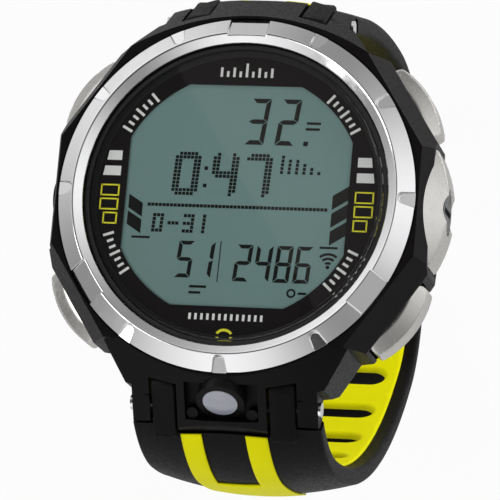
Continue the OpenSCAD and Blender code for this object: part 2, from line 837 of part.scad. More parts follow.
module strap_upper() {
  color(black) mirror([0, 1, 0]) difference() {
    union() {
      difference() {
        strap_run(up_path, half_w, strap_t, up_path[2], up_path[5], buckle_phi);
        hang(1) lug_clearance();
      }
      hang(1) fingers();
      ribs(up_path);
      rod_x(buckle_at[0], buckle_at[1], strap_t / 2 - 0.25, -buckle_w, buckle_w);
    }
    hang(1) rod_x(-pin_y, pin_z, pin_r + run, -14, 14);
    rod_x(buckle_at[0], buckle_at[1], buckle_pin_r + run, -20, 20);
    for (s = [0, 1]) mirror([s, 0, 0]) rod_x(buckle_at[0], buckle_at[1], 5.6, buckle_w, 20);
    rod_x(buckle_at[0], buckle_at[1], 3.4, -1.7, 1.7);
    inlay(up_path, -91, -84, 1);
    upper_lining(1);
  }
}

module lining_upper() {
  color(yellow) mirror([0, 1, 0]) upper_lining(0);
}

module inlay_upper() {
  color(yellow) mirror([0, 1, 0]) difference() {
    inlay(up_path, -91, -84, 0);
    hang(1) lug_clearance();
  }
}

// Buckle frame, pin and tongue on the short half, and the sliding keeper

module buckle_frame() {
  color(steel) mirror([0, 1, 0]) difference() {
    union() {
      sweep_x(up_path[6], buckle_phi, -19) slab(up_path[7] + 0.6, 2.9, frame_x);
      rod_x(buckle_at[0], buckle_at[1], 1.9, -frame_x - 0.1, frame_x + 0.1);
    }
    // window for the strap end, and the lowered end bar under the tongue
    sweep_x(up_path[6], buckle_phi - 20, -25) slab(up_path[7] - 4, 12, buckle_w + gap);
    sweep_x(up_path[6], -26, -10) slab(up_path[7] + 2.6, 4, buckle_w + gap);
    rod_x(buckle_at[0], buckle_at[1], buckle_pin_r + 0.02, -20, 20);
  }
}

module buckle_pin() {
  color(steel) mirror([0, 1, 0]) {
    rod_x(buckle_at[0], buckle_at[1], buckle_pin_r, -frame_x - 0.1, frame_x + 0.1);
    for (s = [0, 1]) mirror([s, 0, 0]) rod_x(buckle_at[0], buckle_at[1], 1.2, frame_x + 0.1, frame_x + 0.5);
  }
}

module buckle_tongue() {
  color(steel) mirror([0, 1, 0]) difference() {
    union() {
      sweep_x(up_path[6], buckle_phi, -18) translate([up_path[7] + 2.6 + gap, -1.1]) square([1.1, 2.2]);
      rod_x(buckle_at[0], buckle_at[1], 1.9, -1.35, 1.35);
    }
    rod_x(buckle_at[0], buckle_at[1], buckle_pin_r + run, -20, 20);
  }
}

module keeper() {
  color(black) mirror([0, 1, 0]) sweep_x(up_path[3], -60.5, -55.5) difference() {
    translate([up_path[4] - 4.85, -half_w - 1.5]) square([strap_t + 6.35, strap_w + 3]);
    translate([up_path[4] - 3.75, -half_w - 0.35]) square([strap_t + 4.1, strap_w + 0.7]);
  }
}

case();
bezel();
lens();
lens_gasket();
dial_mask();
lcd_panel();
lcd_frame();
backlight();
zebra_strips();
main_board();
chips();
side_switches();
piezo();
radio_coil();
chassis();
coin_cell();
cell_contact();
caseback();
caseback_seal();
caseback_screws();
battery_hatch();
hatch_contact();
hatch_seal();
pressure_sensor();
sensor_seal();
side_plate();
port_plug();
port_pins();
lamp_lens();
lamp_emitter();
lug_pins();
shaft_seals();
cap(button_high);  // cap_2
cap(button_low);  // cap_4
cap(-button_low);  // cap_8
cap(-button_high);  // cap_10
stem(button_high);  // stem_2
stem(button_low);  // stem_4
stem(-button_low);  // stem_8
stem(-button_high);  // stem_10
spring(button_high);  // spring_2
spring(button_low);  // spring_4
spring(-button_low);  // spring_8
spring(-button_high);  // spring_10
clip(button_high);  // clip_2
clip(button_low);  // clip_4
clip(-button_low);  // clip_8
clip(-button_high);  // clip_10
strap_lower();
lining_lower();
inlay_lower();
strap_upper();
lining_upper();
inlay_upper();
buckle_frame();
buckle_pin();
buckle_tongue();
keeper();
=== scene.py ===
"""Looks of a wrist dive computer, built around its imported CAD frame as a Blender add-on."""

import json
import math

import bmesh
import bpy
import numpy as np
from mathutils import Matrix


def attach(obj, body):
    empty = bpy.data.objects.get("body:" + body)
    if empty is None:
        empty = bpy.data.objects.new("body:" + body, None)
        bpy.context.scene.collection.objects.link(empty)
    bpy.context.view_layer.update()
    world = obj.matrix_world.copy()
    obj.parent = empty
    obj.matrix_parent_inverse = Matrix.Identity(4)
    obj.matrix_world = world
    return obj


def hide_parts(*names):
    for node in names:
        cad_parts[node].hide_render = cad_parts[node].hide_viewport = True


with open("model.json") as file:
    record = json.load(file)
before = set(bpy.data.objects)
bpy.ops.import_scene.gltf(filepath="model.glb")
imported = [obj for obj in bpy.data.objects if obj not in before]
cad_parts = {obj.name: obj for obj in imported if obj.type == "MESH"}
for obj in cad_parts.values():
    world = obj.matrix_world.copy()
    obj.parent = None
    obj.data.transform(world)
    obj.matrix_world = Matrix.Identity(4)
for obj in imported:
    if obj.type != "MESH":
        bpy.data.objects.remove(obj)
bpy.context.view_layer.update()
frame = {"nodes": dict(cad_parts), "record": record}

bl_info = {
    "name": "Wrist dive computer looks",
    "version": (1, 0, 0),
    "blender": (4, 5, 0),
    "location": "3D View > Sidebar > Dive computer",
    "description": "Builds the finished surfaces of a wrist dive computer around its CAD frame",
    "category": "Object",
}

MM = 0.001
TAU = 2 * math.pi
QUARTER = np.radians([0, 22.5, 45, 67.5, 90])  # steps over a rounded edge

# Sizes shared with the CAD part, in millimetres; a pin is (y, z), on the -Y side for both strap halves
BEZEL_R = 24.0
RIM_Z = 15.0
SEAT_Z = 13.5
LOWER_PIN = (-27.2, 9.3)
UPPER_PIN = (-24.861, 8.666)
LOWER_SLOPE = 33.7
UPPER_SLOPE = 55.7
CAP_LO = 4.7
CAP_HI = 10.3
CAP_BACK = 24.8
CAP_OUT = 28.4
CLOCKS = {"2": 56.5, "4": 123.8, "8": -123.8, "10": -56.5}
STRAP_T = 4.2
STRAP_HALF = 12.7
NARROW_HALF = 10.5
FINGER_IN, FINGER_OUT = 6.3, 9.6
TIP_Y = 8.0
TIP_R = 14.0
FINGER_R = 4.4
LUG_FLAT, LUG_CROWN = 3.17, 36  # distance of the lug's slope from the pin, and its radius across


# Settings shown in the panel


def length(name, text, default, low, high):
    """A length setting, given here in millimetres."""
    return bpy.props.FloatProperty(
        name=name, description=text, default=default * MM, min=low * MM, max=high * MM, unit="LENGTH")


def colour(name, text, default):
    """A colour setting."""
    return bpy.props.FloatVectorProperty(
        name=name, description=text, subtype="COLOR", size=3, min=0, max=1, default=default)


class DiveBezelSettings(bpy.types.PropertyGroup):
    """Sizes of the bezel."""

    notch_width: length("Notch width", "Width of a narrow notch at its inner end", 1.5, 0.5, 3)
    edge_round: length("Edge round", "Radius on the rim and the ridge", 0.28, 0.05, 0.5)


class DiveStrapSettings(bpy.types.PropertyGroup):
    """Sizes and colours of the strap."""

    crown: length("Crown radius", "Radius of the strap's outer face across its width", 42, 30, 200)
    edge_round: length("Edge round", "Radius along the strap's edges", 0.55, 0.1, 0.9)
    black: colour("Black", "Colour of the black rubber", (0.0062, 0.0056, 0.006))
    yellow: colour("Yellow", "Colour of the yellow rubber", (0.9, 0.86, 0.003))


class DiveDisplaySettings(bpy.types.PropertyGroup):
    """Colours of the display and of the print around it."""

    paper: colour("Display", "Colour of the display's ground", (0.165, 0.275, 0.262))
    ink: colour("Segments", "Colour of the display's dark segments", (0.001, 0.0012, 0.0012))
    mask: colour("Mask", "Colour of the print around the window", (0.009, 0.0065, 0.0072))


class DiveStageSettings(bpy.types.PropertyGroup):
    """Light of the stage."""

    lamp: bpy.props.FloatProperty(
        name="Lamp power", description="Power of the main lamp", default=1.0, min=0, max=40, unit="POWER")
    sky: bpy.props.FloatProperty(
        name="Sky", description="Strength of the light from all round", default=0.42, min=0, max=2)


# Mesh tools


def grid(rows, cols, wrap=False, base=0):
    """Quads of a grid of rows x cols points stored row by row; wrap joins the last column to the first."""
    r = np.arange(rows - 1)[:, None]
    c = np.arange(cols if wrap else cols - 1)[None, :]
    a = r * cols + c
    b = r * cols + (c + 1) % cols
    return np.stack([a, b, b + cols, a + cols], -1).reshape(-1, 4) + base


class Shell:
    """Gathers point grids in millimetres, and the faces between them, into one mesh."""

    def __init__(self):
        self.points = []
        self.quads = []
        self.tris = []
        self.count = 0

    def add(self, points):
        """Adds points and returns the index of the first."""
        points = np.asarray(points, float).reshape(-1, 3)
        base = self.count
        self.points.append(points)
        self.count += len(points)
        return base

    def sheet(self, points, wrap=False, flip=False):
        """Adds a (rows, cols, 3) grid and returns the index of its first point."""
        rows, cols = points.shape[:2]
        base = self.add(points)
        quads = grid(rows, cols, wrap, base)
        self.quads.append(quads[:, ::-1] if flip else quads)
        return base

    def close(self, start, count, centre):
        """Closes the loop of count points from index start with a fan of triangles to a new point."""
        loop = start + np.arange(count)
        middle = np.full(count, self.add(centre))
        self.tris.append(np.stack([loop, np.roll(loop, -1), middle], -1))

    def build(self, name, closed=True, sharp=38.0):
        """Makes the mesh object: merges points that neighbouring grids share and, on a closed shell,
        turns all faces outwards."""
        co = np.concatenate(self.points) * MM
        quads = np.concatenate(self.quads)
        tris = np.concatenate(self.tris) if self.tris else np.zeros((0, 3), int)
        corners = np.concatenate([quads.ravel(), tris.ravel()])
        starts = np.concatenate([np.arange(len(quads)) * 4, quads.size + np.arange(len(tris)) * 3])
        mesh = bpy.data.meshes.new(name)
        mesh.vertices.add(len(co))
        mesh.vertices.foreach_set("co", co.astype(np.float32).ravel())
        mesh.loops.add(len(corners))
        mesh.loops.foreach_set("vertex_index", corners.astype(np.int32))
        mesh.polygons.add(len(starts))
        mesh.polygons.foreach_set("loop_start", starts.astype(np.int32))
        mesh.update(calc_edges=True)
        mesh.validate()
        work = bmesh.new()
        work.from_mesh(mesh)
        bmesh.ops.remove_doubles(work, verts=work.verts, dist=2e-6)
        if closed:
            bmesh.ops.recalc_face_normals(work, faces=work.faces)
        work.to_mesh(mesh)
        work.free()
        mesh.polygons.foreach_set("use_smooth", np.ones(len(mesh.polygons), bool))
        mesh.set_sharp_from_angle(angle=math.radians(sharp))
        obj = bpy.data.objects.new(name, mesh)
        bpy.context.scene.collection.objects.link(obj)
        return obj


def flipped(shell):
    """The same shell on the other side of the dial, +Y for -Y."""
    shell.points = [p * np.array([1, -1, 1]) for p in shell.points]
    return shell


def seat(obj, body, material, stands_for=()):
    """Gives a piece its material, the body that it rides on and the CAD nodes that it stands for."""
    obj.data.materials.clear()
    obj.data.materials.append(material)
    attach(obj, body)
    for node in stands_for:
        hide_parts(node)


def step(edge0, edge1, value):
    """Smooth step from 0 at edge0 to 1 at edge1."""
    t = np.clip((value - edge0) / (edge1 - edge0), 0, 1)
    return t * t * (3 - 2 * t)


def soft_over(value, width):
    """value where it is positive and 0 where it is not, with the corner rounded over width."""
    bent = 0.5 * (value + np.sqrt(value * value + width * width))
    return bent - 0.5 * width * np.exp(-np.abs(value) / width)


def rounded_path(corners, radii, steps=5):
    """A closed path through corners, each cut by an arc: the arc's points lie on a circle that touches
    both sides."""
    corners = np.asarray(corners, float)
    out = []
    for i, (p, r) in enumerate(zip(corners, radii)):
        a = corners[i - 1] - p
        b = corners[(i + 1) % len(corners)] - p
        a /= np.linalg.norm(a)
        b /= np.linalg.norm(b)
        half = 0.5 * math.acos(np.clip(a @ b, -1, 1))
        mid = (a + b) / np.linalg.norm(a + b)
        centre = p + mid * r / math.sin(half)
        u = p + a * r / math.tan(half) - centre
        v = p + b * r / math.tan(half) - centre
        span = math.pi - 2 * half
        w = np.linspace(0, 1, steps)[:, None]
        out.append(centre + (np.sin((1 - w) * span) * u + np.sin(w * span) * v) / math.sin(span))
    return np.concatenate(out)


def closed_length(path):
    """A path with its first point repeated at the end, and the distance along it of each point."""
    path = np.concatenate([path, path[:1]])
    return path, np.concatenate([[0], np.cumsum(np.linalg.norm(np.diff(path, axis=0), axis=1))])


def resample(path, count):
    """count points spread evenly by length around a closed path."""
    path, along = closed_length(path)
    t = np.linspace(0, along[-1], count, endpoint=False)
    return np.stack([np.interp(t, along, path[:, k]) for k in (0, 1)], -1)


def to_clock(points, clock):
    """Turns points given as (outwards, sideways, up) to a clock angle around the dial."""
    c = math.radians(90 - clock)
    d, t, z = points[..., 0], points[..., 1], points[..., 2]
    return np.stack([d * math.cos(c) - t * math.sin(c), d * math.sin(c) + t * math.cos(c), z], -1)


# Materials


def put(tree, target, inputs):
    """Sets inputs of a node: a socket is linked, anything else is the value."""
    for key, value in inputs.items():
        if isinstance(value, bpy.types.NodeSocket):
            tree.links.new(value, target.inputs[key])
        else:
            target.inputs[key].default_value = value


def node(tree, kind, inputs=None, **props):
    """Adds a node with its properties and inputs."""
    made = tree.nodes.new(kind)
    for key, value in props.items():
        setattr(made, key, value)
    put(tree, made, inputs or {})
    return made


def first(tree, kind, inputs=None, **props):
    """Adds a node and gives its first output."""
    return node(tree, kind, inputs, **props).outputs[0]


def calc(tree, operation, *values):
    """Adds a Math node and gives its output."""
    return first(tree, "ShaderNodeMath", dict(enumerate(values)), operation=operation)


def spread_to(tree, value, low, high, start=0.0, end=1.0):
    """Carries a value from the range start..end to low..high."""
    return first(tree, "ShaderNodeMapRange", {
        "Value": value, "From Min": start, "From Max": end, "To Min": low, "To Max": high})


def blend(tree, out, factor, a, b):
    """Puts a blend of two shaders on an output node."""
    put(tree, out, {"Surface": first(tree, "ShaderNodeMixShader", {0: factor, 1: a, 2: b})})


def grain_group():
    """Shared effect: Tone is a slow change of brightness around 1, Height a fine grain from 0 to 1."""
    name = "Grain"
    if name in bpy.data.node_groups:
        return bpy.data.node_groups[name]
    tree = bpy.data.node_groups.new(name, "ShaderNodeTree")
    for socket, way in (("Scale", "INPUT"), ("Spread", "INPUT"), ("Tone", "OUTPUT"), ("Height", "OUTPUT")):
        tree.interface.new_socket(socket, in_out=way, socket_type="NodeSocketFloat")
    inside = tree.nodes.new("NodeGroupInput")
    outside = tree.nodes.new("NodeGroupOutput")
    place = node(tree, "ShaderNodeTexCoord").outputs["Object"]
    fine = node(tree, "ShaderNodeTexNoise", {
        "Vector": place, "Scale": inside.outputs["Scale"], "Detail": 3.0, "Roughness": 0.6})
    slow = node(tree, "ShaderNodeTexNoise", {"Vector": place, "Scale": 140.0, "Detail": 2.0})
    swing = calc(tree, "SUBTRACT", slow.outputs["Fac"], 0.5)
    tone = calc(tree, "MULTIPLY_ADD", swing, inside.outputs["Spread"], 1.0)
    put(tree, outside, {"Tone": tone, "Height": fine.outputs["Fac"]})
    return tree


def blank(name):
    """A new material with an empty tree, its output node and a Principled node."""
    mat = bpy.data.materials.new(name)
    mat.use_nodes = True
    tree = mat.node_tree
    tree.nodes.clear()
    out = tree.nodes.new("ShaderNodeOutputMaterial")
    shader = tree.nodes.new("ShaderNodeBsdfPrincipled")
    tree.links.new(shader.outputs[0], out.inputs["Surface"])
    return mat, tree, shader, out


def once(make):
    """Lets make run once for each material name; asked again, it gives the same material."""
    def made(name, *values, **more):
        return bpy.data.materials.get(name) or make(name, *values, **more)
    return made


@once
def grained(name, color, rough, metallic=0.0, scale=1800.0, bump=0.1, depth=0.00004, spread=0.3,
            rough_spread=0.12, specular=0.5):
    """A solid colour with slow brightness changes, a fine bump and uneven roughness from the grain group."""
    mat, tree, shader, _ = blank(name)
    grain = node(tree, "ShaderNodeGroup", {"Scale": scale, "Spread": spread}, node_tree=grain_group())
    tone, height = grain.outputs["Tone"], grain.outputs["Height"]
    grey = first(tree, "ShaderNodeCombineColor", {"Red": tone, "Green": tone, "Blue": tone})
    tint = node(tree, "ShaderNodeMix", {"Factor": 1.0, "A": (*color, 1.0), "B": grey},
                data_type="RGBA", blend_type="MULTIPLY")
    put(tree, shader, {
        "Base Color": tint.outputs["Result"], "Metallic": metallic, "Specular IOR Level": specular,
        "Roughness": spread_to(
            tree, height, max(rough - rough_spread, 0.02), rough + rough_spread, 0.3, 0.7),
        "Normal": first(tree, "ShaderNodeBump", {"Height": height, "Strength": bump, "Distance": depth})})
    return mat


@once
def display_material(name, color):
    """Display ground: grey-green, with painted light that makes it a little lighter towards the upper right,
    and a faint speckle.
    """
    mat, tree, shader, _ = blank(name)
    place = node(tree, "ShaderNodeTexCoord").outputs["Object"]
    parts = node(tree, "ShaderNodeSeparateXYZ", {"Vector": place})
    # painted light: a ramp across the ground, lighter towards the upper right
    across = calc(tree, "ADD", parts.outputs["X"], parts.outputs["Y"])
    lift = spread_to(tree, across, 0.9, 1.08, -0.024, 0.024)
    speck = node(tree, "ShaderNodeTexNoise", {"Vector": place, "Scale": 2600.0, "Detail": 1.0})
    both = calc(tree, "MULTIPLY", lift, spread_to(tree, speck.outputs["Fac"], 0.96, 1.04))
    tint = first(tree, "ShaderNodeVectorMath", {0: color, "Scale": both}, operation="SCALE")
    put(tree, shader, {"Base Color": tint, "Roughness": 0.55})
    return mat


@once
def glass_material(name):
    """Clear lens: reflects by Fresnel, lets shadow rays through so that the dial below is lit."""
    mat, tree, shader, out = blank(name)
    put(tree, shader, {
        "Base Color": (0.97, 0.985, 0.98, 1), "Transmission Weight": 1.0, "Roughness": 0.0, "IOR": 1.5})
    light = node(tree, "ShaderNodeLightPath").outputs
    clear = first(tree, "ShaderNodeBsdfTransparent", {"Color": (0.96, 0.98, 0.975, 1)})
    passing = calc(tree, "MAXIMUM", light["Is Shadow Ray"], light["Is Diffuse Ray"])
    blend(tree, out, passing, shader.outputs[0], clear)
    return mat


@once
def lamp_material(name):
    """Milky lamp dome: a pale coated plastic that light enters a little way."""
    mat, tree, shader, _ = blank(name)
    grain = node(tree, "ShaderNodeGroup", {"Scale": 900.0, "Spread": 0.1}, node_tree=grain_group())
    put(tree, shader, {
        "Base Color": (0.42, 0.43, 0.49, 1), "Subsurface Weight": 0.5, "Subsurface Scale": 0.001,
        "Coat Weight": 0.4, "Roughness": spread_to(tree, grain.outputs["Height"], 0.12, 0.3)})
    return mat


def materials(context):
    """All materials by slot or use, each made once; their own names begin with dive_ where the frame
    brings a material of the plain name."""
    strap = context.scene.dive_strap
    face = context.scene.dive_display
    return {
        "black_plastic": grained(
            "dive_case_black", (0.0045, 0.0036, 0.0038), 0.42, scale=3000, bump=0.12, specular=0.12),
        "back_plastic": grained("dive_back_black", (0.02, 0.02, 0.021), 0.5, scale=2400, bump=0.15),
        "inner_plastic": grained("dive_inner_grey", (0.05, 0.05, 0.055), 0.5),
        "polished_steel": grained(
            "dive_polished_steel", (0.86, 0.86, 0.87), 0.13, 1.0, scale=900, bump=0.03,
            depth=0.00002, spread=0.06, rough_spread=0.05),
        "satin_steel": grained(
            "dive_satin_steel", (0.66, 0.645, 0.62), 0.24, 1.0, scale=1300, bump=0.05, spread=0.15,
            rough_spread=0.06),
        "plain_steel": grained(
            "dive_plain_steel", (0.6, 0.605, 0.61), 0.3, 1.0, scale=900, bump=0.015, spread=0.08,
            rough_spread=0.05),
        "seal_rubber": grained("dive_seal_black", (0.012, 0.012, 0.012), 0.6, scale=1800),
        "dial_black": grained(
            "dive_dial_black", tuple(face.mask), 0.38, scale=2600, bump=0.03, spread=0.15, specular=0.1),
        "display": display_material("display_ground", tuple(face.paper)),
        "ink": grained(
            "dive_display_ink", tuple(face.ink), 0.5, scale=2000, bump=0.0, spread=0.1, specular=0.05),
        "print_white": grained(
            "dive_print_white", (0.82, 0.82, 0.8), 0.5, scale=2000, bump=0.0, spread=0.05),
        "print_yellow": grained(
            "dive_print_yellow", (0.86, 0.8, 0.02), 0.5, scale=2000, bump=0.0, spread=0.05),
        "white_plastic": grained("dive_inner_white", (0.8, 0.8, 0.77), 0.5),
        "board_green": grained("dive_board_green", (0.03, 0.16, 0.07), 0.35, scale=1400, spread=0.5),
        "chip_black": grained("dive_chip_black", (0.03, 0.03, 0.032), 0.5),
        "contact_brass": grained("dive_contact_brass", (0.75, 0.55, 0.22), 0.3, 1.0, spread=0.2),
        "coil_copper": grained("dive_coil_copper", (0.55, 0.22, 0.09), 0.35, 0.8, spread=0.3),
        "port_grey": grained("dive_port_grey", (0.1, 0.1, 0.105), 0.38, 0.6, scale=1600, spread=0.3),
        "lens_glass": glass_material("lens_clear"),
        "lamp_white": lamp_material("lamp_milky"),
        "strap_black": grained(
            "dive_strap_black", tuple(strap.black), 0.5, scale=2200, bump=0.16, spread=0.4, specular=0.08),
        "strap_yellow": grained(
            "dive_strap_yellow", tuple(strap.yellow), 0.5, scale=2200, bump=0.1, spread=0.12,
            specular=0.04),
    }


# Bezel


NOTCHES = (24.3, 56.0, 90.0, 146.7, 180.0, -146.7, -90.0, -56.0, -24.3)
NOTCH_LENGTH = 2.1
NOTCH_FLARE = 0.18
NOTCH_SOFT = 0.06
NOTCH_FLOOR, NOTCH_FALL = RIM_Z + 0.72, 0.384  # height at the inner end, fall per millimetre outwards
FLATS = (0.0, 124.0, -124.0)
FLAT_HALF = 2.6
FLAT_LENGTH = 2.8
FLAT_SOFT = 0.08
FLAT_FLOOR, FLAT_FALL = 16.15, 0.6957  # height at the ridge, fall per millimetre outwards
RIDGE_R = 21.7
RING = ((22.7, 13.56), (BEZEL_R, 13.56), (BEZEL_R, RIM_Z), (RIDGE_R, 16.6), (20.45, 15.75), (20.45, 15.1),
        (22.7, 15.1))
SLOPE_AT, RIDGE_AT, LIP_AT = 2.5, 5.5, 7.4  # distances along the profile between its close and wide rows


def bezel_points(width, round_r):
    """The bezel: a rounded profile turned about Z, then lowered to a sloping floor inside each notch.
    A notch is the inside of a capsule that widens outwards; its signed distance gives a soft-edged mask.
    A flat is the inside of a rectangle, masked in the same way."""
    path, along = closed_length(rounded_path(RING, [0.02, 0.05, round_r, round_r, 0.12, 0.02, 0.02]))
    t = np.concatenate([
        np.linspace(0, SLOPE_AT, 8, endpoint=False), np.linspace(SLOPE_AT, RIDGE_AT, 36, endpoint=False),
        np.linspace(RIDGE_AT, LIP_AT, 12, endpoint=False), np.linspace(LIP_AT, along[-1], 8)])
    fine = [(c, 4, 90) for c in NOTCHES] + [(c + k, 1, 24) for c in FLATS for k in (-6.6, 6.6)]
    theta = np.concatenate([np.linspace(0, TAU, 300, endpoint=False)] + [
        math.radians(90 - c) + np.radians(np.linspace(-wide, wide, n)) for c, wide, n in fine]) % TAU
    theta = np.unique(np.round(theta, 5))[None, :]
    r = np.interp(t, along, path[:, 0])[:, None] + 0 * theta
    z = np.interp(t, along, path[:, 1])[:, None] + 0 * theta

    def seen_from(clock):
        """Sideways and outward place from a clock angle, and whether it is on that side of the dial."""
        turn = theta - math.radians(90 - clock)
        return r * np.sin(turn), r * np.cos(turn), np.cos(turn) > 0

    near = width / 2
    for clock in NOTCHES:
        side, out, here = seen_from(clock)
        out = out - (BEZEL_R - NOTCH_LENGTH)
        tip = np.hypot(out - near, side) - near
        flank = np.abs(side) - near - NOTCH_FLARE * (out - near)
        mask = step(NOTCH_SOFT, -NOTCH_SOFT, np.where(out < near, tip, flank)) * here
        floor = NOTCH_FLOOR - NOTCH_FALL * out
        z = z - mask * np.maximum(z - floor, 0)
    for clock in FLATS:
        side, out, here = seen_from(clock)
        edge = np.maximum(np.abs(side) - FLAT_HALF, BEZEL_R - FLAT_LENGTH - out)
        mask = step(FLAT_SOFT, -FLAT_SOFT, edge) * here
        floor = FLAT_FLOOR - FLAT_FALL * (out - RIDGE_R)
        z = z - mask * np.maximum(z - floor, 0)
    return np.stack([r * np.cos(theta), r * np.sin(theta), z], -1)


# Buttons and flank


def rect_loop(a, b, corner, count, z0):
    """A loop around a rectangle with round corners, half sizes a and b, as (sideways, up)."""
    corner = max(corner, 0.04)
    path = rounded_path([(a, -b), (a, b), (-a, b), (-a, -b)], [corner] * 4, 7)
    return resample(path, count) + np.array([0, z0])


def front_depth(ring, apex, bow, top, fall, bottom):
    """How far out the front face lies at (sideways, up): a cylinder of radius bow about a vertical axis,
    less a slope of fall per unit of height above top and a smaller one below bottom."""
    side, up = ring[:, 0], ring[:, 1]
    arc = apex - bow + np.sqrt(np.maximum(bow * bow - side * side, 0.01))
    return arc - fall * soft_over(up - top, 0.16) - 0.8 * soft_over(bottom - up, 0.2)


def cap_depth(ring):
    """Front face of a button cap."""
    return front_depth(ring, CAP_OUT, 12.4, CAP_HI - 1.5, 1.2, CAP_LO + 1.0)


def plate_depth(ring):
    """Front face of the right flank."""
    return front_depth(ring, BEZEL_R + 3.8, 16.5, 11.1, 1.125, 6.3)


def at_depth(depth, ring):
    """Points (outwards, sideways, up) of a ring at one depth or at one for each point."""
    return np.stack([np.broadcast_to(depth, len(ring)), ring[:, 0], ring[:, 1]], -1)


def edge_loops(half, low, high, corner, turn, count, back, depth):
    """Loops around a block: its outline at the back, then a quarter circle of radius turn over the edge of
    the front face."""
    tall, mid = (high - low) / 2, (high + low) / 2
    loops = [at_depth(back, rect_loop(half, tall, corner, count, mid))]
    for angle in QUARTER:
        inset = turn * (1 - math.cos(angle))
        ring = rect_loop(half - inset, tall - inset, corner - inset, count, mid)
        loops.append(at_depth(np.maximum(depth(ring) - turn * (1 - math.sin(angle)), back), ring))
    return loops


def cap_shell(clock):
    """A button cap: loops around its outline, from the back edge up the side, over a rounded edge and in
    towards the middle of the front face, each a smaller copy of the last."""
    half, corner, turn, count = 5.4, 1.1, 0.32, 120
    tall, mid = (CAP_HI - CAP_LO) / 2, (CAP_HI + CAP_LO) / 2
    loops = edge_loops(half, CAP_LO, CAP_HI, corner, turn, count, CAP_BACK, cap_depth)
    inner = rect_loop(half - turn, tall - turn, corner - turn, count, 0)
    for k in (0.94, 0.86, 0.76, 0.65, 0.53, 0.4, 0.27, 0.14, 0.05):
        ring = inner * k + np.array([0, mid])
        loops.append(at_depth(cap_depth(ring), ring))
    shell = Shell()
    base = shell.sheet(to_clock(np.array(loops), clock), wrap=True)
    shell.close(base + (len(loops) - 1) * count, count, to_clock(np.array([CAP_OUT, 0, mid]), clock))
    shell.close(base, count, to_clock(np.array([CAP_BACK, 0, mid]), clock))
    return shell


def plate_shell():
    """The right flank: loops from the back edge over the outer edge, by straight blends to the round port
    hole, and back down its wall."""
    half, low, high, corner, turn, count = 7.9, 5.2, 13.9, 0.6, 0.3, 200
    hole, port = 3.1, np.array([0, 8.5])
    back = BEZEL_R + 0.42
    loops = edge_loops(half, low, high, corner, turn, count, back, plate_depth)
    inner = rect_loop(half - turn, (high - low) / 2 - turn, corner - turn, count, (high + low) / 2)
    circle = (inner - port) / np.linalg.norm(inner - port, axis=1)[:, None]
    rim = circle * (hole + 0.15) + port
    for k in np.linspace(0.08, 1, 13):
        ring = inner * (1 - k) + rim * k
        loops.append(at_depth(np.maximum(plate_depth(ring), back), ring))
    for radius, drop in ((hole + 0.04, 0.05), (hole, 0.16)):
        ring = circle * radius + port
        loops.append(at_depth(plate_depth(ring) - drop, ring))
    shell = Shell()
    shell.sheet(np.array([*loops, at_depth(back, ring), loops[0]]), wrap=True)
    return shell


# Strap


class StrapCurve:
    """Inner face of a strap half seen from the side, outwards being -Y: three arcs that meet smoothly and
    then a straight run. An arc's points are its centre plus the radius times (sin a, -cos a), a = 0
    pointing down."""

    def __init__(self, pin, lean, r1, r2, turn, r3):
        h, a = math.radians(lean), math.radians(turn)
        n = np.array([-math.cos(h), math.sin(h)])
        d = np.array([-math.sin(h), -math.cos(h)])
        behind, below = 0.93, 1.32  # from the pin to the start of the inner face
        self.pin = np.array(pin)
        c1 = self.pin - behind * n + below * d - r1 * n
        c2 = c1 + np.array([r2 - r1, 0])
        c3 = c2 + (r3 - r2) * np.array([math.cos(a), math.sin(a)])
        self.centres, self.radii = (c1, c2, c3), (r1, r2, r3)
        self.starts = (-math.pi / 2 - h, -math.pi / 2, a - math.pi / 2)
        self.ends = np.cumsum([r1 * h, r2 * a, r3 * (math.pi / 2 - a)])

    def into(self, arc, degrees):
        """Distance along at some degrees into the second (1) or third (2) arc."""
        return self.ends[arc - 1] + np.radians(degrees) * self.radii[arc]

    def at(self, s):
        """Place (y, z) and outward normal (ny, nz) at distance s along the curve."""
        s = np.asarray(s, float)
        before = np.concatenate([[0], self.ends])
        y, z, ny, nz = [], [], [], []
        for c, r, a, b in zip(self.centres, self.radii, self.starts, before):
            angle = a + (s - b) / r
            ny.append(np.sin(angle))
            nz.append(-np.cos(angle))
            y.append(c[0] + r * ny[-1])
            z.append(c[1] + r * nz[-1])
        y.append(c[0] + s - self.ends[2])
        z.append(np.full_like(s, c[1] - r))
        ny.append(np.zeros_like(s))
        nz.append(-np.ones_like(s))
        which = [s < end for end in self.ends]
        return tuple(np.select(which, v[:3], v[3]) for v in (y, z, ny, nz))

    def skin(self, s, x, h):
        """Points at distance s along, x across and h out of the inner face."""
        s, x, h = np.broadcast_arrays(np.asarray(s, float), x, h)
        y, z, ny, nz = self.at(s)
        return np.stack([x, y + ny * h, z + nz * h], -1)


LOWER = StrapCurve(LOWER_PIN, 38.5, 18, 66, 48.5, 14.8)
UPPER = StrapCurve(UPPER_PIN, 18, 104.7, 34, 38, 22)
UPPER_END = UPPER.into(2, 2)
HEAD_END = 9.0
SLOT_HALF = 9.1
SLOT_W = 4.4
SLOT_REACH = 4.9
SLOT_ROWS = 12
SLOT_FILLET = 0.35
LOWER_SLOTS = LOWER.into(1, 21.7) + 2 * SLOT_REACH * np.arange(4)
LINING_HALF = SLOT_HALF + 1.6
PROUD = 0.03  # how far lining and inlay stand out of the black rubber
BAND_IN = 2.95
BAND_OUT = 5.8


def lower_half(s):
    """Half width of the lower strap: a slight taper with depth below a level, and a round tip."""
    level, deep, taper = -16, 48.7, 0.3
    y, z, _, _ = LOWER.at(s)
    w = STRAP_HALF - taper * np.clip((level - z) / deep, 0, 1)
    tip = np.sqrt(np.maximum(TIP_R ** 2 - np.maximum(y - (TIP_Y - TIP_R), 0) ** 2, 0.3))
    return np.where(np.asarray(s) > LOWER.ends[1], np.minimum(w, tip), w)


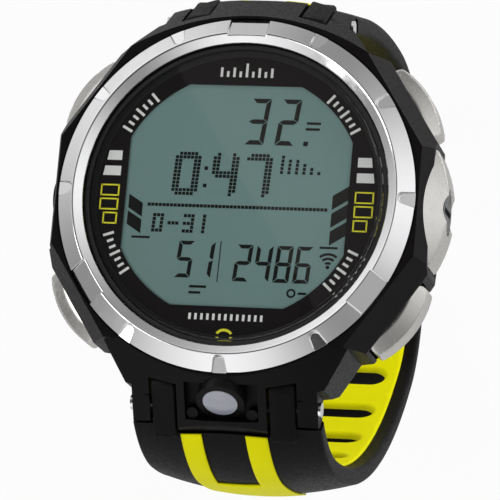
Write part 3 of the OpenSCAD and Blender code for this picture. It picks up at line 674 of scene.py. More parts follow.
def upper_half(s):
    """Half width of the upper strap: full, then narrowed to pass between the buckle's arms."""
    wide = step(UPPER_END - 5.2, UPPER_END - 6.4, np.asarray(s, float))
    return NARROW_HALF + (STRAP_HALF - NARROW_HALF) * wide


def tip_point(curve, s):
    """Middle of a strap's thickness at distance s along."""
    return curve.skin(np.array([s]), 0.0, STRAP_T / 2)[0]


class StrapShape:
    """Cross-section of a strap half: a crowned outer face, round edges and a flat inner face."""

    def __init__(self, curve, half, crown, turn):
        self.curve, self.half, self.crown, self.turn = curve, half, crown, turn
        breaks = np.array([b + gap for b in (FINGER_IN, FINGER_OUT) for gap in (-0.02, 0.02)])
        xi = np.concatenate([np.linspace(0, 1, 15), breaks / (STRAP_HALF - turn)])
        xi = np.unique(np.round(xi, 6))
        self.xi = np.concatenate([-xi[:0:-1], xi])

    def flat(self, s):
        """Half width of the faces between the round edges."""
        return self.half(np.asarray(s, float)) - self.turn

    def height(self, x):
        """Thickness at x: a parabola of the crown's radius."""
        return STRAP_T - x * x / (2 * self.crown)

    def edge(self, s, side):
        """The edge from outer face to inner face as (x, h): a quarter circle, a short wall, a quarter
        circle."""
        w = self.half(s)[..., None]
        t = self.turn
        top = self.height(w - t)
        angle = np.radians([67.5, 45, 22.5, 0, 0, -22.5, -45, -67.5])
        x = side * (w - t + t * np.cos(angle))
        h = np.where(np.arange(8) < 4, top - t, t) + t * np.sin(angle)
        return x, h

    def loop(self, s):
        """x and h of the closed section at each s (rows): outer face, right edge, inner face, left edge."""
        flat = self.flat(s)[..., None] * self.xi
        rx, rh = self.edge(s, 1)
        lx, lh = self.edge(s, -1)
        x = np.concatenate([flat, rx, flat[..., ::-1], lx[..., ::-1]], -1)
        h = np.concatenate([self.height(flat), rh, 0 * flat, lh[..., ::-1]], -1)
        return x, h

    def start(self, x, h):
        """Distance along at which the strap begins so as to clear the lug: the point at height h lies on a
        circle about the pin, wide at the bracket and narrow at the ears; the fingers' roots begin at once."""
        first_s = -0.5
        reach = np.where(np.abs(x) < FINGER_IN, 3.8, 2.7)
        low, high = np.full(x.shape, first_s), np.full(x.shape, 8.0)
        for _ in range(40):
            mid = 0.5 * (low + high)
            p = self.curve.skin(mid, x, h)
            inside = np.hypot(p[..., 1] - self.curve.pin[0], p[..., 2] - self.curve.pin[1]) < reach
            low, high = np.where(inside, mid, low), np.where(inside, high, mid)
        finger = (np.abs(x) > FINGER_IN) & (np.abs(x) < FINGER_OUT)
        return np.where(finger, first_s, 0.5 * (low + high))

    def head(self, shell):
        """Rows from the lug end on and the hollow end face around the pin."""
        s1 = np.array([HEAD_END])
        x, h = (v[0] for v in self.loop(s1))
        begin = self.start(x, h)
        v = np.linspace(0, 1, 8)[:, None]
        shell.sheet(self.curve.skin(begin + (HEAD_END - begin) * v, x, h), wrap=True)
        n = len(self.xi)
        fx = np.repeat(x[None, :n], 10, 0)
        fh = h[None, :n] * np.linspace(1, 0, 10)[:, None]
        for side, column in ((1, -1), (-1, 0)):
            ex, eh = self.edge(s1, side)
            fx[1:9, column], fh[1:9, column] = ex[0], eh[0]
        shell.sheet(self.curve.skin(self.start(fx, fh), fx, fh))

    def run(self, shell, s, tip=None):
        """Plain rows at the distances s; with tip, a fan closes the last row to the point there."""
        x, h = self.loop(s)
        base = shell.sheet(self.curve.skin(s[:, None], x, h), wrap=True)
        if tip is not None:
            count = x.shape[1]
            shell.close(base + (len(s) - 1) * count, count, tip_point(self.curve, tip))


def rows_between(a, b):
    """Distances from a to b about a millimetre apart."""
    return np.linspace(a, b, max(2, int(b - a) + 2))


def stadium_loop(xi, eta, half, r):
    """Loop around a slot as (along, across), matched point by point to the loop around its rectangle: each
    long side takes the straight edge and an eighth turn at each end, each short side a quarter turn."""
    straight = half - r
    p = xi * (straight + r * math.pi / 4)
    bend = np.maximum(np.abs(p) - straight, 0) / r
    across = np.sign(p) * (np.minimum(np.abs(p), straight) + r * np.sin(bend))
    along = r * np.cos(bend)
    turn = eta * math.pi / 4
    return np.concatenate([
        np.stack([-along, across], -1),
        np.stack([r * np.sin(turn), straight + r * np.cos(turn)], -1),
        np.stack([along[::-1], across[::-1]], -1),
        np.stack([r * np.sin(turn[::-1]), -straight - r * np.cos(turn[::-1])], -1)])


def slot_patch(xi, flat, s0, s1, half, width):
    """Along, across and depth of loops from the rectangle s0..s1 in to a slot's edge and over its fillet,
    until the wall: straight blends from the rectangle to the slot's outline, then a quarter circle into the
    face."""
    inner = np.linspace(s0, s1, SLOT_ROWS + 1)[1:-1]
    eta = np.linspace(-1, 1, SLOT_ROWS + 1)[1:-1]
    rect = np.concatenate([
        np.stack([np.full_like(xi, s0), xi * flat(s0)], -1),
        np.stack([inner, flat(inner)], -1),
        np.stack([np.full_like(xi, s1), xi[::-1] * flat(s1)], -1),
        np.stack([inner[::-1], -flat(inner[::-1])], -1)])

    def outline(grow):
        """The slot's outline, larger by grow all round."""
        return stadium_loop(xi, eta, half + grow, width / 2 + grow) + np.array([0.5 * (s0 + s1), 0])

    rim = outline(SLOT_FILLET)
    rings = [(rect * (1 - k) + rim * k, 0.0) for k in (0, 0.3, 0.6, 0.85, 1)]
    rings += [(outline(SLOT_FILLET * (1 - math.sin(angle))), SLOT_FILLET * (1 - math.cos(angle)))
              for angle in QUARTER[1:]]
    along, across = np.moveaxis(np.array([ring for ring, _ in rings]), -1, 0)
    return along, across, np.array([depth for _, depth in rings])[:, None]


def lower_strap_shell(shape):
    """The lower strap: head at the lug, plain rows, rows with slots, and a round closed tip."""
    shell = Shell()
    end = LOWER.ends[2] + TIP_Y - LOWER.centres[2][0] - 0.03
    shape.head(shell)
    at = HEAD_END
    for middle in LOWER_SLOTS:
        s0, s1 = middle - SLOT_REACH, middle + SLOT_REACH
        shape.run(shell, rows_between(at, s0))
        along, across, depth = slot_patch(shape.xi, shape.flat, s0, s1, SLOT_HALF, SLOT_W)
        outer = LOWER.skin(along, across, shape.height(across) - depth)
        inner = LOWER.skin(along, across, depth)
        shell.sheet(np.concatenate([outer, inner[::-1]]), wrap=True)
        rows = np.linspace(s0, s1, SLOT_ROWS + 1)
        for side in (1, -1):
            x, h = shape.edge(rows, side)
            f = side * shape.flat(rows)[:, None]
            x = np.concatenate([f, x, f], 1)
            h = np.concatenate([shape.height(f), h, 0 * f], 1)
            shell.sheet(LOWER.skin(rows[:, None], x, h))
        at = s1
    closer = 1 - (1 - np.linspace(0, 1, 16)) ** 2
    shape.run(shell, at + (end - at) * closer, end + 0.02)
    return shell


def upper_strap_shell(shape):
    """The upper strap: head at the lug, then plain rows, close together where it narrows."""
    shell = Shell()
    shape.head(shell)
    shape.run(shell, np.concatenate([
        np.linspace(HEAD_END, UPPER_END - 7, 40), np.linspace(UPPER_END - 6.6, UPPER_END, 24)]), UPPER_END)
    return shell


def lower_lining_shell():
    """Yellow lining on the lower strap's inner face, a little proud of it, with a short wall inside each
    slot."""
    shell = Shell()
    xi = np.linspace(-1, 1, 29)

    def plain(rows):
        shell.sheet(LOWER.skin(rows[:, None], xi * LINING_HALF, -PROUD), flip=True)

    def flat(s):
        return np.full_like(np.asarray(s, float), LINING_HALF)

    at = LOWER.into(1, 5)
    for middle in LOWER_SLOTS:
        s0, s1 = middle - SLOT_REACH, middle + SLOT_REACH
        if s0 > at + 0.01:
            plain(rows_between(at, s0))
        along, across, depth = slot_patch(xi, flat, s0, s1, SLOT_HALF - 0.03, SLOT_W - 0.06)
        points = LOWER.skin(along, across, depth - PROUD)
        wall = LOWER.skin(along[-1], across[-1], 0.7)
        shell.sheet(np.concatenate([points, wall[None]]), wrap=True, flip=True)
        at = s1
    plain(np.linspace(at, LOWER.ends[2] + TIP_Y - 5.3 - LOWER.centres[2][0], 16))
    return shell


def upper_lining_shell():
    """Yellow lining on the upper strap's inner face, a plain band a little proud of it."""
    shell = Shell()
    rows = UPPER.into(1, np.linspace(4, 34, 40))
    shell.sheet(UPPER.skin(rows[:, None], np.linspace(-1, 1, 25) * LINING_HALF, -PROUD))
    return shell


def inlay_shell(shape, turn_at, stop):
    """Yellow U in the outer face: a strip down one side, across from turn_at to stop and up the other; its
    points lie on the crowned face, a little proud of it, and its corners are square."""
    shell = Shell()

    def face(s, x, flip=False):
        shell.sheet(shape.curve.skin(s, x, shape.height(x) + PROUD), flip=flip)

    band = np.linspace(BAND_IN, BAND_OUT, 9)
    for side in (1, -1):
        x = side * band
        begin = np.maximum(shape.start(x, shape.height(x)) + 0.05, 0)
        face(begin + (turn_at - begin) * np.linspace(0, 1, 40)[:, None], x, side < 0)
    x = np.unique(np.concatenate([-band, np.linspace(-BAND_IN, BAND_IN, 9), band]))
    face(np.linspace(turn_at, stop, 20)[:, None], x)
    return shell


def soft_bar(x0, x1, turn, soft, middle, outline):
    """A bar along X with softened ends: outline(x, inset) gives its (y, z) about the point middle, set in
    by soft and by turn where it nears an end."""
    loops = []
    for x, inset in ((x0, turn), (x0 + soft, soft), (x0 + turn, 0),
                     (x1 - turn, 0), (x1 - soft, soft), (x1, turn)):
        y, z = outline(x, inset)
        loops.append(np.stack([np.full_like(y, x), y + middle[0], z + middle[1]], -1))
    shell = Shell()
    base = shell.sheet(np.array(loops), wrap=True)
    shell.close(base, len(y), [x0, *middle])
    shell.close(base + 5 * len(y), len(y), [x1, *middle])
    return shell


def finger_shell(x0, x1, pin, slope_deg):
    """A strap finger around the lug pin: a polar outline cut flat along the lug's slope, carried across with
    round edges. At slope angle a the radius is the finger's, limited by the flat, and a smaller one below
    the slope; the flat lies at its distance from the pin, less a crown across."""
    low_r = 3.5
    a = np.radians(np.linspace(-180, 180, 120, endpoint=False))
    up = step(math.radians(-14), math.radians(-2), a)
    up = np.where(a < math.radians(-90), step(math.radians(-166), math.radians(-178), a), up)
    slope = math.radians(slope_deg)

    def outline(x, inset):
        lift = LUG_FLAT - x * x / (2 * LUG_CROWN)
        flat = np.where(np.sin(a) > 0.05, lift / np.maximum(np.sin(a), 0.05), 99)
        r = np.minimum(low_r + (FINGER_R - low_r) * up, flat) - inset
        return r * np.cos(a + slope), r * np.sin(a + slope)

    return soft_bar(x0, x1, 0.35, 0.1, pin, outline)


def knuckle_shell(x0, x1, pin, r):
    """A round bar along X with softened ends."""
    a = np.linspace(0, TAU, 48, endpoint=False)

    def outline(_, inset):
        return (r - inset) * np.cos(a), (r - inset) * np.sin(a)

    return soft_bar(x0, x1, 0.3, 0.09, pin, outline)


def round_box(x0, y0, x1, y1, corner, steps, count):
    """count points around a rectangle with round corners."""
    return resample(rounded_path([[x0, y0], [x1, y0], [x1, y1], [x0, y1]], [corner] * 4, steps), count)


def keeper_shell():
    """Keeper loop: a small section with round corners, as wide as the loop along the strap and as thick as
    its band, carried round a rectangle with round corners about the strap's section."""
    wide, inner, outer = STRAP_HALF + 0.95, -4.3, 5.15
    half_long, half_thick = 1.47, 0.54
    path = round_box(-wide, inner, wide, outer, 1.4, 7, 120)
    ahead = np.roll(path, -1, 0) - np.roll(path, 1, 0)
    out = np.stack([ahead[:, 1], -ahead[:, 0]], -1) / np.linalg.norm(ahead, axis=1)[:, None]
    band = round_box(-half_long, -half_thick, half_long, half_thick, 0.3, 5, 40)
    across = path[:, None] + out[:, None] * band[:, 1][None, :, None]
    points = UPPER.skin(UPPER.into(1, 32) + band[:, 0], across[..., 0], across[..., 1])
    shell = Shell()
    shell.sheet(np.concatenate([points, points[:1]]), wrap=True)
    return shell


# Display


SEGMENTS = {"0": "abcdef", "1": "bc", "2": "abged", "3": "abgcd", "4": "fgbc", "5": "afgcd", "6": "afgedc",
            "7": "abc", "8": "abcdefg", "9": "abcdfg"}
STROKES = {"a": (0, 2, 0, 7), "b": (0, 6, 5, 7), "c": (6, 12, 5, 7), "d": (10, 12, 0, 7),
           "e": (6, 12, 0, 2), "f": (0, 6, 0, 2), "g": (5, 7, 1, 7)}


def seven_segment(digit, w, h, t, g):
    """Quads of one digit: mitred bars along a w x h box, with gaps g between them."""
    m = h / 2
    bars = {
        "a": [(g, h), (w - g, h), (w - t - g, h - t), (t + g, h - t)],
        "d": [(t + g, t), (w - t - g, t), (w - g, 0), (g, 0)],
        "f": [(0, h - g), (t, h - t - g), (t, m + t / 2 + g), (0, m + g)],
        "b": [(w - t, h - t - g), (w, h - g), (w, m + g), (w - t, m + t / 2 + g)],
        "e": [(0, m - g), (t, m - t / 2 - g), (t, t + g), (0, g)],
        "c": [(w - t, m - t / 2 - g), (w, m - g), (w, g), (w - t, t + g)],
    }
    quads = [bars[s] for s in SEGMENTS[digit] if s != "g"]
    if "g" in SEGMENTS[digit]:
        quads.append([(g, m), (t, m + t / 2), (w - t, m + t / 2), (w - g, m)])
        quads.append([(g, m), (w - g, m), (w - t, m - t / 2), (t, m - t / 2)])
    return np.array(quads, float)


def leaning(quads, x, y, lean):
    """Moves quads to (x, y) and leans them to the right by lean per unit of height."""
    return np.stack([x + quads[..., 0] + lean * quads[..., 1], y + quads[..., 1]], -1)


def dots(bits, x, y, pitch_x, pitch_y, fill, lean):
    """Square dots at the set places of a bit array, top row first."""
    rows, cols = np.nonzero(bits)
    cy = y + (bits.shape[0] - 1 - rows) * pitch_y
    cx = x + cols * pitch_x + lean * (cy - y)
    a, b = pitch_x * fill / 2, pitch_y * fill / 2
    corner = np.array([(-a, -b), (a, -b), (a, b), (-a, b)])
    return np.stack([cx, cy], -1)[:, None, :] + corner


def dot_digit(digit):
    """Bits of a digit drawn with strokes two dots thick on a 7 x 12 field, with clipped corners."""
    bits = np.zeros((12, 7), bool)
    for s in SEGMENTS[digit]:
        r0, r1, c0, c1 = STROKES[s]
        bits[r0:r1, c0:c1] = True
    bits[[0, 0, 11, 11], [0, 6, 0, 6]] = False
    return bits


def bar(x0, y0, x1, y1, width):
    """One straight bar between two points."""
    d = np.array([x1 - x0, y1 - y0])
    n = np.array([-d[1], d[0]]) / np.linalg.norm(d) * width / 2
    a, b = np.array([x0, y0]), np.array([x1, y1])
    return np.array([[a - n, b - n, b + n, a + n]])


def arc_band(cx, cy, r0, r1, a0, a1, count):
    """A curved band of quads between two radii."""
    a = np.radians(np.linspace(a0, a1, count + 1))
    p = np.stack([cx + r0 * np.cos(a), cy + r0 * np.sin(a)], -1)
    q = np.stack([cx + r1 * np.cos(a), cy + r1 * np.sin(a)], -1)
    return np.stack([p[:-1], q[:-1], q[1:], p[1:]], 1)


def flat_piece(name, quads, z):
    """A flat piece made of separate quads at height z, all facing up."""
    quads = np.concatenate(quads)
    x, y = quads[..., 0], quads[..., 1]
    area = np.sum(x * np.roll(y, -1, 1) - y * np.roll(x, -1, 1), 1)
    quads = np.where((area < 0)[:, None, None], quads[:, ::-1], quads)
    shell = Shell()
    base = shell.add(np.concatenate([quads, np.full((*quads.shape[:2], 1), z)], -1))
    shell.quads.append(np.arange(len(quads) * 4).reshape(-1, 4) + base)
    return shell.build(name, closed=False)


def display_quads():
    """Dark segments of the display, in millimetres on the dial: plain numbers, rules, bars and marks."""
    q = []
    for d, x in (("3", 0.35), ("2", 4.45)):
        q.append(leaning(seven_segment(d, 2.6, 6.3, 0.62, 0.07), x, 7.0, 0.11))
    q.append(leaning(np.array([[(0, 0), (0.62, 0), (0.62, 0.62), (0, 0.62)]], float), 8.3, 7.0, 0.1))
    q += [bar(8.6, 10.1, 10.5, 10.1, 0.34), bar(8.5, 9.3, 10.4, 9.3, 0.34)]
    for d, x in (("0", -8.7), ("4", -3.55), ("7", 0.95)):
        q.append(dots(dot_digit(d), x, 0.1, 0.51, 0.495, 0.84, 0.05))
    for y in (1.25, 3.6):
        q.append(dots(np.ones((1, 1), bool), -4.42, y, 0.55, 0.55, 0.9, 0))
    meter = np.zeros((5, 11), bool)
    for i, level in enumerate((5, 4, 4, 3, 2, 1)):
        meter[5 - level:, i * 2] = True
    q.append(dots(meter, 5.75, 3.35, 0.5, 0.52, 0.82, 0.05))
    q.append(dots(np.ones((1, 48), bool), -11.7, -1.52, 0.506, 0.5, 0.86, 0))
    blocks = np.zeros((5, 15), bool)
    blocks[:, 0:3] = True
    blocks[1:4, 1] = False
    blocks[2, 4:7] = True
    blocks[:, 8:11] = True
    blocks[1:4, 8:10] = False
    blocks[2, 8:11] = True
    blocks[:, 13] = True
    q.append(dots(blocks, -10.9, -5.0, 0.52, 0.52, 0.84, 0.05))
    small = (("5", -7.5, -11.25), ("1", -4.75, -11.25), ("2", 0.35, -11.5), ("4", 3.05, -11.5),
             ("8", 5.75, -11.5), ("6", 8.4, -11.5))
    for d, x, y in small:
        q.append(leaning(seven_segment(d, 2.15, 4.95, 0.52, 0.06), x, y, 0.08))
    q.append(bar(-1.62, -11.7, -1.5, -6.2, 0.13))
    for i in range(2):
        y = -3.15 - 2.25 * i
        q.append(np.array([[(-14.5, y + 1.1), (-14.5, y + 2.95), (-12.55, y + 1.75), (-12.55, y - 0.1)]]))
    for i in range(3):
        y = 0.0 - 2.4 * i
        q.append(np.array([[(15.0, y - 0.1), (15.0, y + 1.8), (12.87, y + 0.4), (12.87, y - 1.5)]]))
    for r in (0.55, 1.15, 1.75):
        q.append(arc_band(12.95, -9.2, r - 0.17, r + 0.17, 50, 130, 8))
    q.append(arc_band(12.95, -9.2, 0.0, 0.26, 0, 360, 12))
    q += [bar(-5.3, -12.4, -3.0, -12.4, 0.34), bar(-5.3, -13.2, -3.7, -13.2, 0.34)]
    q += [arc_band(8.4, -12.85, 0.36, 0.62, 0, 360, 20), bar(9.3, -12.85, 10.4, -12.85, 0.3)]
    q += [bar(-13.7, -6.0, -11.2, -6.0, 0.3), bar(11.7, -6.6, 14.1, -6.6, 0.3)]
    return q


def print_white_quads():
    """White print around the window: a symbol beside each button, a block at 3 and 9 o'clock, ticks at 12
    and 6."""
    q = []
    for clock in (-52.0, 50.0, -118.0, 123.0):
        for k in (-9, -6, -3, 0, 3, 6, 9):
            c = math.radians(clock + k)
            r0, r1 = (17.0, 18.5) if k % 9 == 0 else (17.3, 18.2)
            q.append(bar(r0 * math.sin(c), r0 * math.cos(c), r1 * math.sin(c), r1 * math.cos(c), 0.36))
    for side in (-1, 1):
        for y, out in ((4.3, 17.9), (2.2, 18.3)):
            q.append(np.array([[(side * 15.9, y), (side * out, y), (side * (out - 0.2), y + 1.3),
                                (side * 15.9, y + 1.3)]]))
    for k in range(-4, 5):
        tall = 1.9 if k == 0 else (1.3 if k % 2 == 0 else 0.8)
        q.append(bar(k * 0.85, 16.1, k * 0.85, 16.1 + tall, 0.34))
    for k in range(-6, 7):
        q.append(bar(k * 0.8, -16.0, k * 0.8, -16.85, 0.34))
    return q


def print_yellow_quads():
    """Yellow print: a ladder of outlined boxes below 3 and 9 o'clock and a short arc at 6 o'clock."""
    q = []
    for side in (-1, 1):
        for i in range(3):
            y = 0.9 - 1.9 * i
            x0, x1 = side * 15.95, side * (18.3 if i < 2 else 17.7)
            q += [bar(x0, y, x1, y, 0.2), bar(x0, y - 1.4, x1, y - 1.4, 0.2),
                  bar(x0, y + 0.1, x0, y - 1.5, 0.2), bar(x1, y + 0.1, x1, y - 1.5, 0.2)]
    q.append(arc_band(0, -19.3, 1.0, 1.35, 35, 145, 16))
    return q


# Operators


class DIVE_OT_finishes(bpy.types.Operator):
    """Give every CAD node that stays in view its procedural material"""

    bl_idname = "dive.finishes"
    bl_label = "CAD finishes"

    def execute(self, context):
        mats = materials(context)
        for part in frame["record"]["subparts"]:
            obj = frame["nodes"][part["node"]]
            obj.data.materials.clear()
            obj.data.materials.append(mats[part["material_slot"]])
        return {"FINISHED"}


class DIVE_OT_bezel(bpy.types.Operator):
    """Turn the bezel's profile about the dial's axis and press its notches in"""

    bl_idname = "dive.bezel"
    bl_label = "Bezel"

    def execute(self, context):
        bezel = context.scene.dive_bezel
        shell = Shell()
        shell.sheet(bezel_points(bezel.notch_width / MM, bezel.edge_round / MM), wrap=True)
        obj = shell.build("bezel_ring", sharp=75)
        seat(obj, "case", materials(context)["polished_steel"], ["bezel"])
        return {"FINISHED"}


class DIVE_OT_buttons(bpy.types.Operator):
    """Build the four button caps and the right flank"""

    bl_idname = "dive.buttons"
    bl_label = "Buttons and flank"

    def execute(self, context):
        steel = materials(context)["satin_steel"]
        for key, clock in CLOCKS.items():
            obj = cap_shell(clock).build("button_cap_" + key, sharp=50)
            seat(obj, "button_" + key, steel, ["cap_" + key])
        obj = plate_shell().build("flank_plate", sharp=50)
        seat(obj, "case", steel, ["side_plate"])
        return {"FINISHED"}


class DIVE_OT_strap(bpy.types.Operator):
    """Build both strap halves with their lining, inlay, fingers and knuckles"""

    bl_idname = "dive.strap"
    bl_label = "Strap"

    def execute(self, context):
        strap = context.scene.dive_strap
        mats = materials(context)
        shape = {"crown": strap.crown / MM, "turn": strap.edge_round / MM}
        lower = StrapShape(LOWER, lower_half, **shape)
        upper = StrapShape(UPPER, upper_half, **shape)

        def black(shell, name, body, stands_for=(), sharp=50.0):
            """A closed piece of black rubber."""
            seat(shell.build(name, sharp=sharp), body, mats["strap_black"], stands_for)

        def yellow(shell, name, body, cad_node, over=False):
            """A sheet of yellow rubber, turned over if asked, with a little thickness into the strap."""
            obj = shell.build(name, closed=False)
            if over:
                obj.data.flip_normals()
            mod = obj.modifiers.new("thickness", "SOLIDIFY")
            mod.thickness = 0.25 * MM
            mod.offset = -1
            seat(obj, body, mats["strap_yellow"], [cad_node])

        black(lower_strap_shell(lower), "strap_long", "strap_lower", ["strap_lower"])
        yellow(lower_lining_shell(), "strap_long_lining", "strap_lower", "lining_lower")
        inlay = inlay_shell(lower, 11.2, LOWER.into(1, 12))
        yellow(inlay, "strap_long_inlay", "strap_lower", "inlay_lower")

        black(flipped(upper_strap_shell(upper)), "strap_short", "strap_upper", ["strap_upper"])
        yellow(flipped(upper_lining_shell()), "strap_short_lining", "strap_upper", "lining_upper")
        inlay = inlay_shell(upper, UPPER.ends[0] - math.radians(1) * UPPER.radii[0], UPPER.into(1, 6))
        yellow(flipped(inlay), "strap_short_inlay", "strap_upper", "inlay_upper", over=True)

        sides = (("l", -FINGER_OUT, -FINGER_IN), ("r", FINGER_IN, FINGER_OUT))
        for side, x0, x1 in sides:
            black(finger_shell(x0, x1, LOWER_PIN, LOWER_SLOPE), "strap_lower_finger_" + side, "strap_lower")
        for side, x0, x1 in sides:
            finger = flipped(finger_shell(x0, x1, UPPER_PIN, UPPER_SLOPE))
            black(finger, "strap_upper_finger_" + side, "strap_upper")
        black(flipped(keeper_shell()), "keeper_loop", "keeper", ["keeper"])
        _, y, z = tip_point(UPPER, UPPER_END)
        for side, x0, x1 in (("l", -NARROW_HALF, -1.7), ("r", 1.7, NARROW_HALF)):
            black(knuckle_shell(x0, x1, (-y, z), 1.85), "buckle_knuckle_" + side, "strap_upper", sharp=38.0)
        return {"FINISHED"}


class DIVE_OT_display(bpy.types.Operator):
    """Draw the display's segments and the print around the window"""

    bl_idname = "dive.display"
    bl_label = "Display and print"

    def execute(self, context):
        mats = materials(context)
        for name, quads, lift, slot, ink in (
                ("display_segments", display_quads(), 0.015, "display", "ink"),
                ("dial_print_white", print_white_quads(), 0.258, "dial_black", "print_white"),
                ("dial_print_yellow", print_yellow_quads(), 0.258, "dial_black", "print_yellow")):
            seat(flat_piece(name, quads, SEAT_Z + lift), "case", mats[ink])
        return {"FINISHED"}


# Camera of the photo: its place in millimetres, and the directions of image right, image down and depth
EYE = np.array([118.1, -124.51, 510.54])
RIGHT = np.array([0.9746103, 0.0858360, -0.2068019])
DOWN = np.array([0.0350990, -0.9707508, -0.2375100])
DEEP = np.array([-0.2211400, 0.2242212, -0.9491164])


def stand(obj, x, y, z, place):
    """Links an object with its own axes along x, y and z, at a place in metres."""
    bpy.context.scene.collection.objects.link(obj)
    obj.matrix_world = Matrix([*zip(x, y, z, place), (0, 0, 0, 1)])


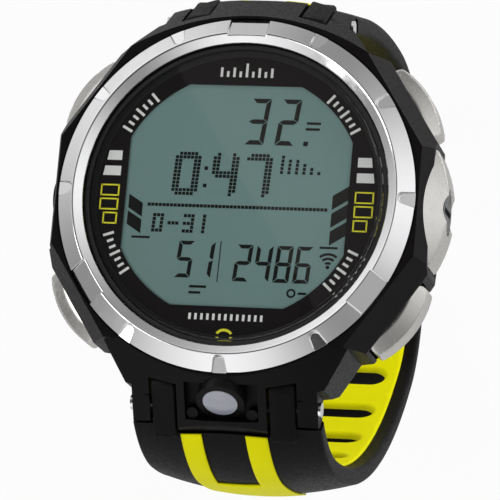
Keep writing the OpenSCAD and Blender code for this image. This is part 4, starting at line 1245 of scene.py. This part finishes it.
class DIVE_OT_stage(bpy.types.Operator):
    """Set the floor, the light and the camera"""

    bl_idname = "dive.stage"
    bl_label = "Stage"

    def execute(self, context):
        scene = context.scene
        stage = scene.dive_stage
        scene.view_settings.view_transform = "Standard"
        self.floor()
        self.card()
        self.sky(scene, stage.sky)
        for name, place, size, share, mirrored in (
                ("lamp_key", (-0.4, -0.12, 0.42), 0.35, 1.0, True),
                ("lamp_fill", (0.3, -0.35, 0.3), 0.4, 0.7, False),
                ("lamp_back", (0.36, 0.3, 0.07), 0.3, 1.6, False)):
            self.lamp(name, place, size, stage.lamp * share, mirrored)
        self.camera(scene)
        return {"FINISHED"}

    def floor(self):
        """A wide white floor under the strap, which glows for the camera."""
        half, level, glow_share = 900, -62.5, 0.94
        shell = Shell()
        u = np.linspace(-half, half, 9)
        x, y = np.meshgrid(u, u)
        shell.sheet(np.stack([x, y, np.full_like(x, level)], -1))
        obj = shell.build("stage_floor", closed=False)
        mat, tree, shader, out = blank("stage_white")
        put(tree, shader, {"Base Color": (0.9, 0.9, 0.9, 1), "Roughness": 0.9})
        light = node(tree, "ShaderNodeLightPath").outputs
        glow = first(tree, "ShaderNodeEmission", {"Color": (1, 1, 1, 1), "Strength": 1.0})
        seen = calc(tree, "MAXIMUM", light["Is Camera Ray"], light["Is Transmission Ray"])
        blend(tree, out, calc(tree, "MULTIPLY", seen, glow_share), shader.outputs[0], glow)
        obj.data.materials.append(mat)

    def card(self):
        """A pale card high above the dial, whose straight edge shows in the lens as a slanting line: the
        line's two ends are carried up from the camera's mirror image below the lens."""
        top, high = RIM_Z + 0.6, 420.0
        half_long, wide = 150, 120
        twin = np.array([EYE[0], EYE[1], 2 * top - EYE[2]])
        line = np.array([[-9.8, 17.6, top], [11.9, -14.8, top]])
        reach = twin + (line - twin) * (high - twin[2]) / (top - twin[2])
        along = (reach[1] - reach[0]) / np.linalg.norm(reach[1] - reach[0])
        away = np.array([-along[1], along[0], 0])
        away = away if away[0] > 0 else -away
        edge = reach.mean(0) + np.array([-along, along]) * half_long
        shell = Shell()
        shell.sheet(np.array([edge, edge + away * wide]))
        obj = shell.build("stage_card", closed=False)
        mat, tree, _, out = blank("stage_card_glow")
        glow = first(tree, "ShaderNodeEmission", {"Color": (1, 0.95, 0.92, 1), "Strength": 0.25})
        put(tree, out, {"Surface": glow})
        obj.data.materials.append(mat)

    def sky(self, scene, strength):
        """World light: bright low down all round, darker overhead, white to the camera; mirrored, it rises
        and falls three times round the object, by the sine of three times the bearing."""
        world = bpy.data.worlds.new("stage_sky")
        scene.world = world
        world.use_nodes = True
        tree = world.node_tree
        tree.nodes.clear()
        out = tree.nodes.new("ShaderNodeOutputWorld")
        place = node(tree, "ShaderNodeTexCoord").outputs["Generated"]
        parts = node(tree, "ShaderNodeSeparateXYZ", {"Vector": place}).outputs
        ramp = node(tree, "ShaderNodeValToRGB", {"Fac": parts["Z"]})
        stops = ramp.color_ramp.elements
        stops[0].color = (0.85, 0.85, 0.85, 1)
        stops[1].color = (0.06, 0.06, 0.06, 1)
        for at, value in ((0.25, 1.0), (0.78, 1.0), (0.88, 0.15)):
            stops.new(at).color = (value, value, value, 1)
        light = node(tree, "ShaderNodeLightPath").outputs
        bearing = calc(tree, "ARCTAN2", parts["Y"], parts["X"])
        wave = calc(tree, "SINE", calc(tree, "MULTIPLY_ADD", bearing, 3.0, math.radians(45)))
        mirrored = spread_to(tree, wave, 0.3, 1.05, -1.0, 1.0)
        power = first(tree, "ShaderNodeMix", {
            "Factor": light["Is Glossy Ray"], "A": strength, "B": mirrored}, data_type="FLOAT")
        base = first(tree, "ShaderNodeBackground", {"Color": ramp.outputs["Color"], "Strength": power})
        white = first(tree, "ShaderNodeBackground", {"Color": (1, 1, 1, 1), "Strength": 1.0})
        blend(tree, out, light["Is Camera Ray"], base, white)

    def lamp(self, name, place, size, power, mirrored):
        """A square lamp at a place in metres, turned to the origin."""
        data = bpy.data.lights.new(name, "AREA")
        data.energy = power
        data.size = size
        obj = bpy.data.objects.new(name, data)
        obj.visible_glossy = mirrored
        z = np.array(place) / np.linalg.norm(place)
        x = np.cross([0, 0, 1], z)
        x /= np.linalg.norm(x)
        stand(obj, x, np.cross(z, x), z, place)

    def camera(self, scene):
        """The photo's camera: its focal length is eight times the picture's width."""
        data = bpy.data.cameras.new("photo_camera")
        data.sensor_width = 36
        data.lens = 36 * 8
        data.clip_start = 0.01
        data.clip_end = 10
        obj = bpy.data.objects.new("photo_camera", data)
        stand(obj, RIGHT, -DOWN, -DEEP, EYE * MM)
        scene.camera = obj


class DIVE_PT_panel(bpy.types.Panel):
    """Settings and steps of the dive computer"""

    bl_label = "Dive computer"
    bl_idname = "DIVE_PT_panel"
    bl_space_type = "VIEW_3D"
    bl_region_type = "UI"
    bl_category = "Dive computer"

    def draw(self, context):
        layout = self.layout
        for name, cls in SETTINGS:
            for key in cls.__annotations__:
                layout.prop(getattr(context.scene, name), key)
        for cls in OPERATORS:
            layout.operator(cls.bl_idname)


SETTINGS = (("dive_bezel", DiveBezelSettings), ("dive_strap", DiveStrapSettings),
            ("dive_display", DiveDisplaySettings), ("dive_stage", DiveStageSettings))
OPERATORS = (DIVE_OT_finishes, DIVE_OT_bezel, DIVE_OT_buttons, DIVE_OT_strap, DIVE_OT_display, DIVE_OT_stage)


def register():
    for name, cls in SETTINGS:
        bpy.utils.register_class(cls)
        setattr(bpy.types.Scene, name, bpy.props.PointerProperty(type=cls))
    for cls in OPERATORS + (DIVE_PT_panel,):
        bpy.utils.register_class(cls)


def unregister():
    for cls in (DIVE_PT_panel,) + OPERATORS[::-1]:
        bpy.utils.unregister_class(cls)
    for name, cls in SETTINGS[::-1]:
        delattr(bpy.types.Scene, name)
        bpy.utils.unregister_class(cls)


def main():
    register()
    bpy.ops.dive.finishes()
    bpy.ops.dive.bezel()
    bpy.ops.dive.buttons()
    bpy.ops.dive.strap()
    bpy.ops.dive.display()
    bpy.ops.dive.stage()


if __name__ == "__main__":
    main()
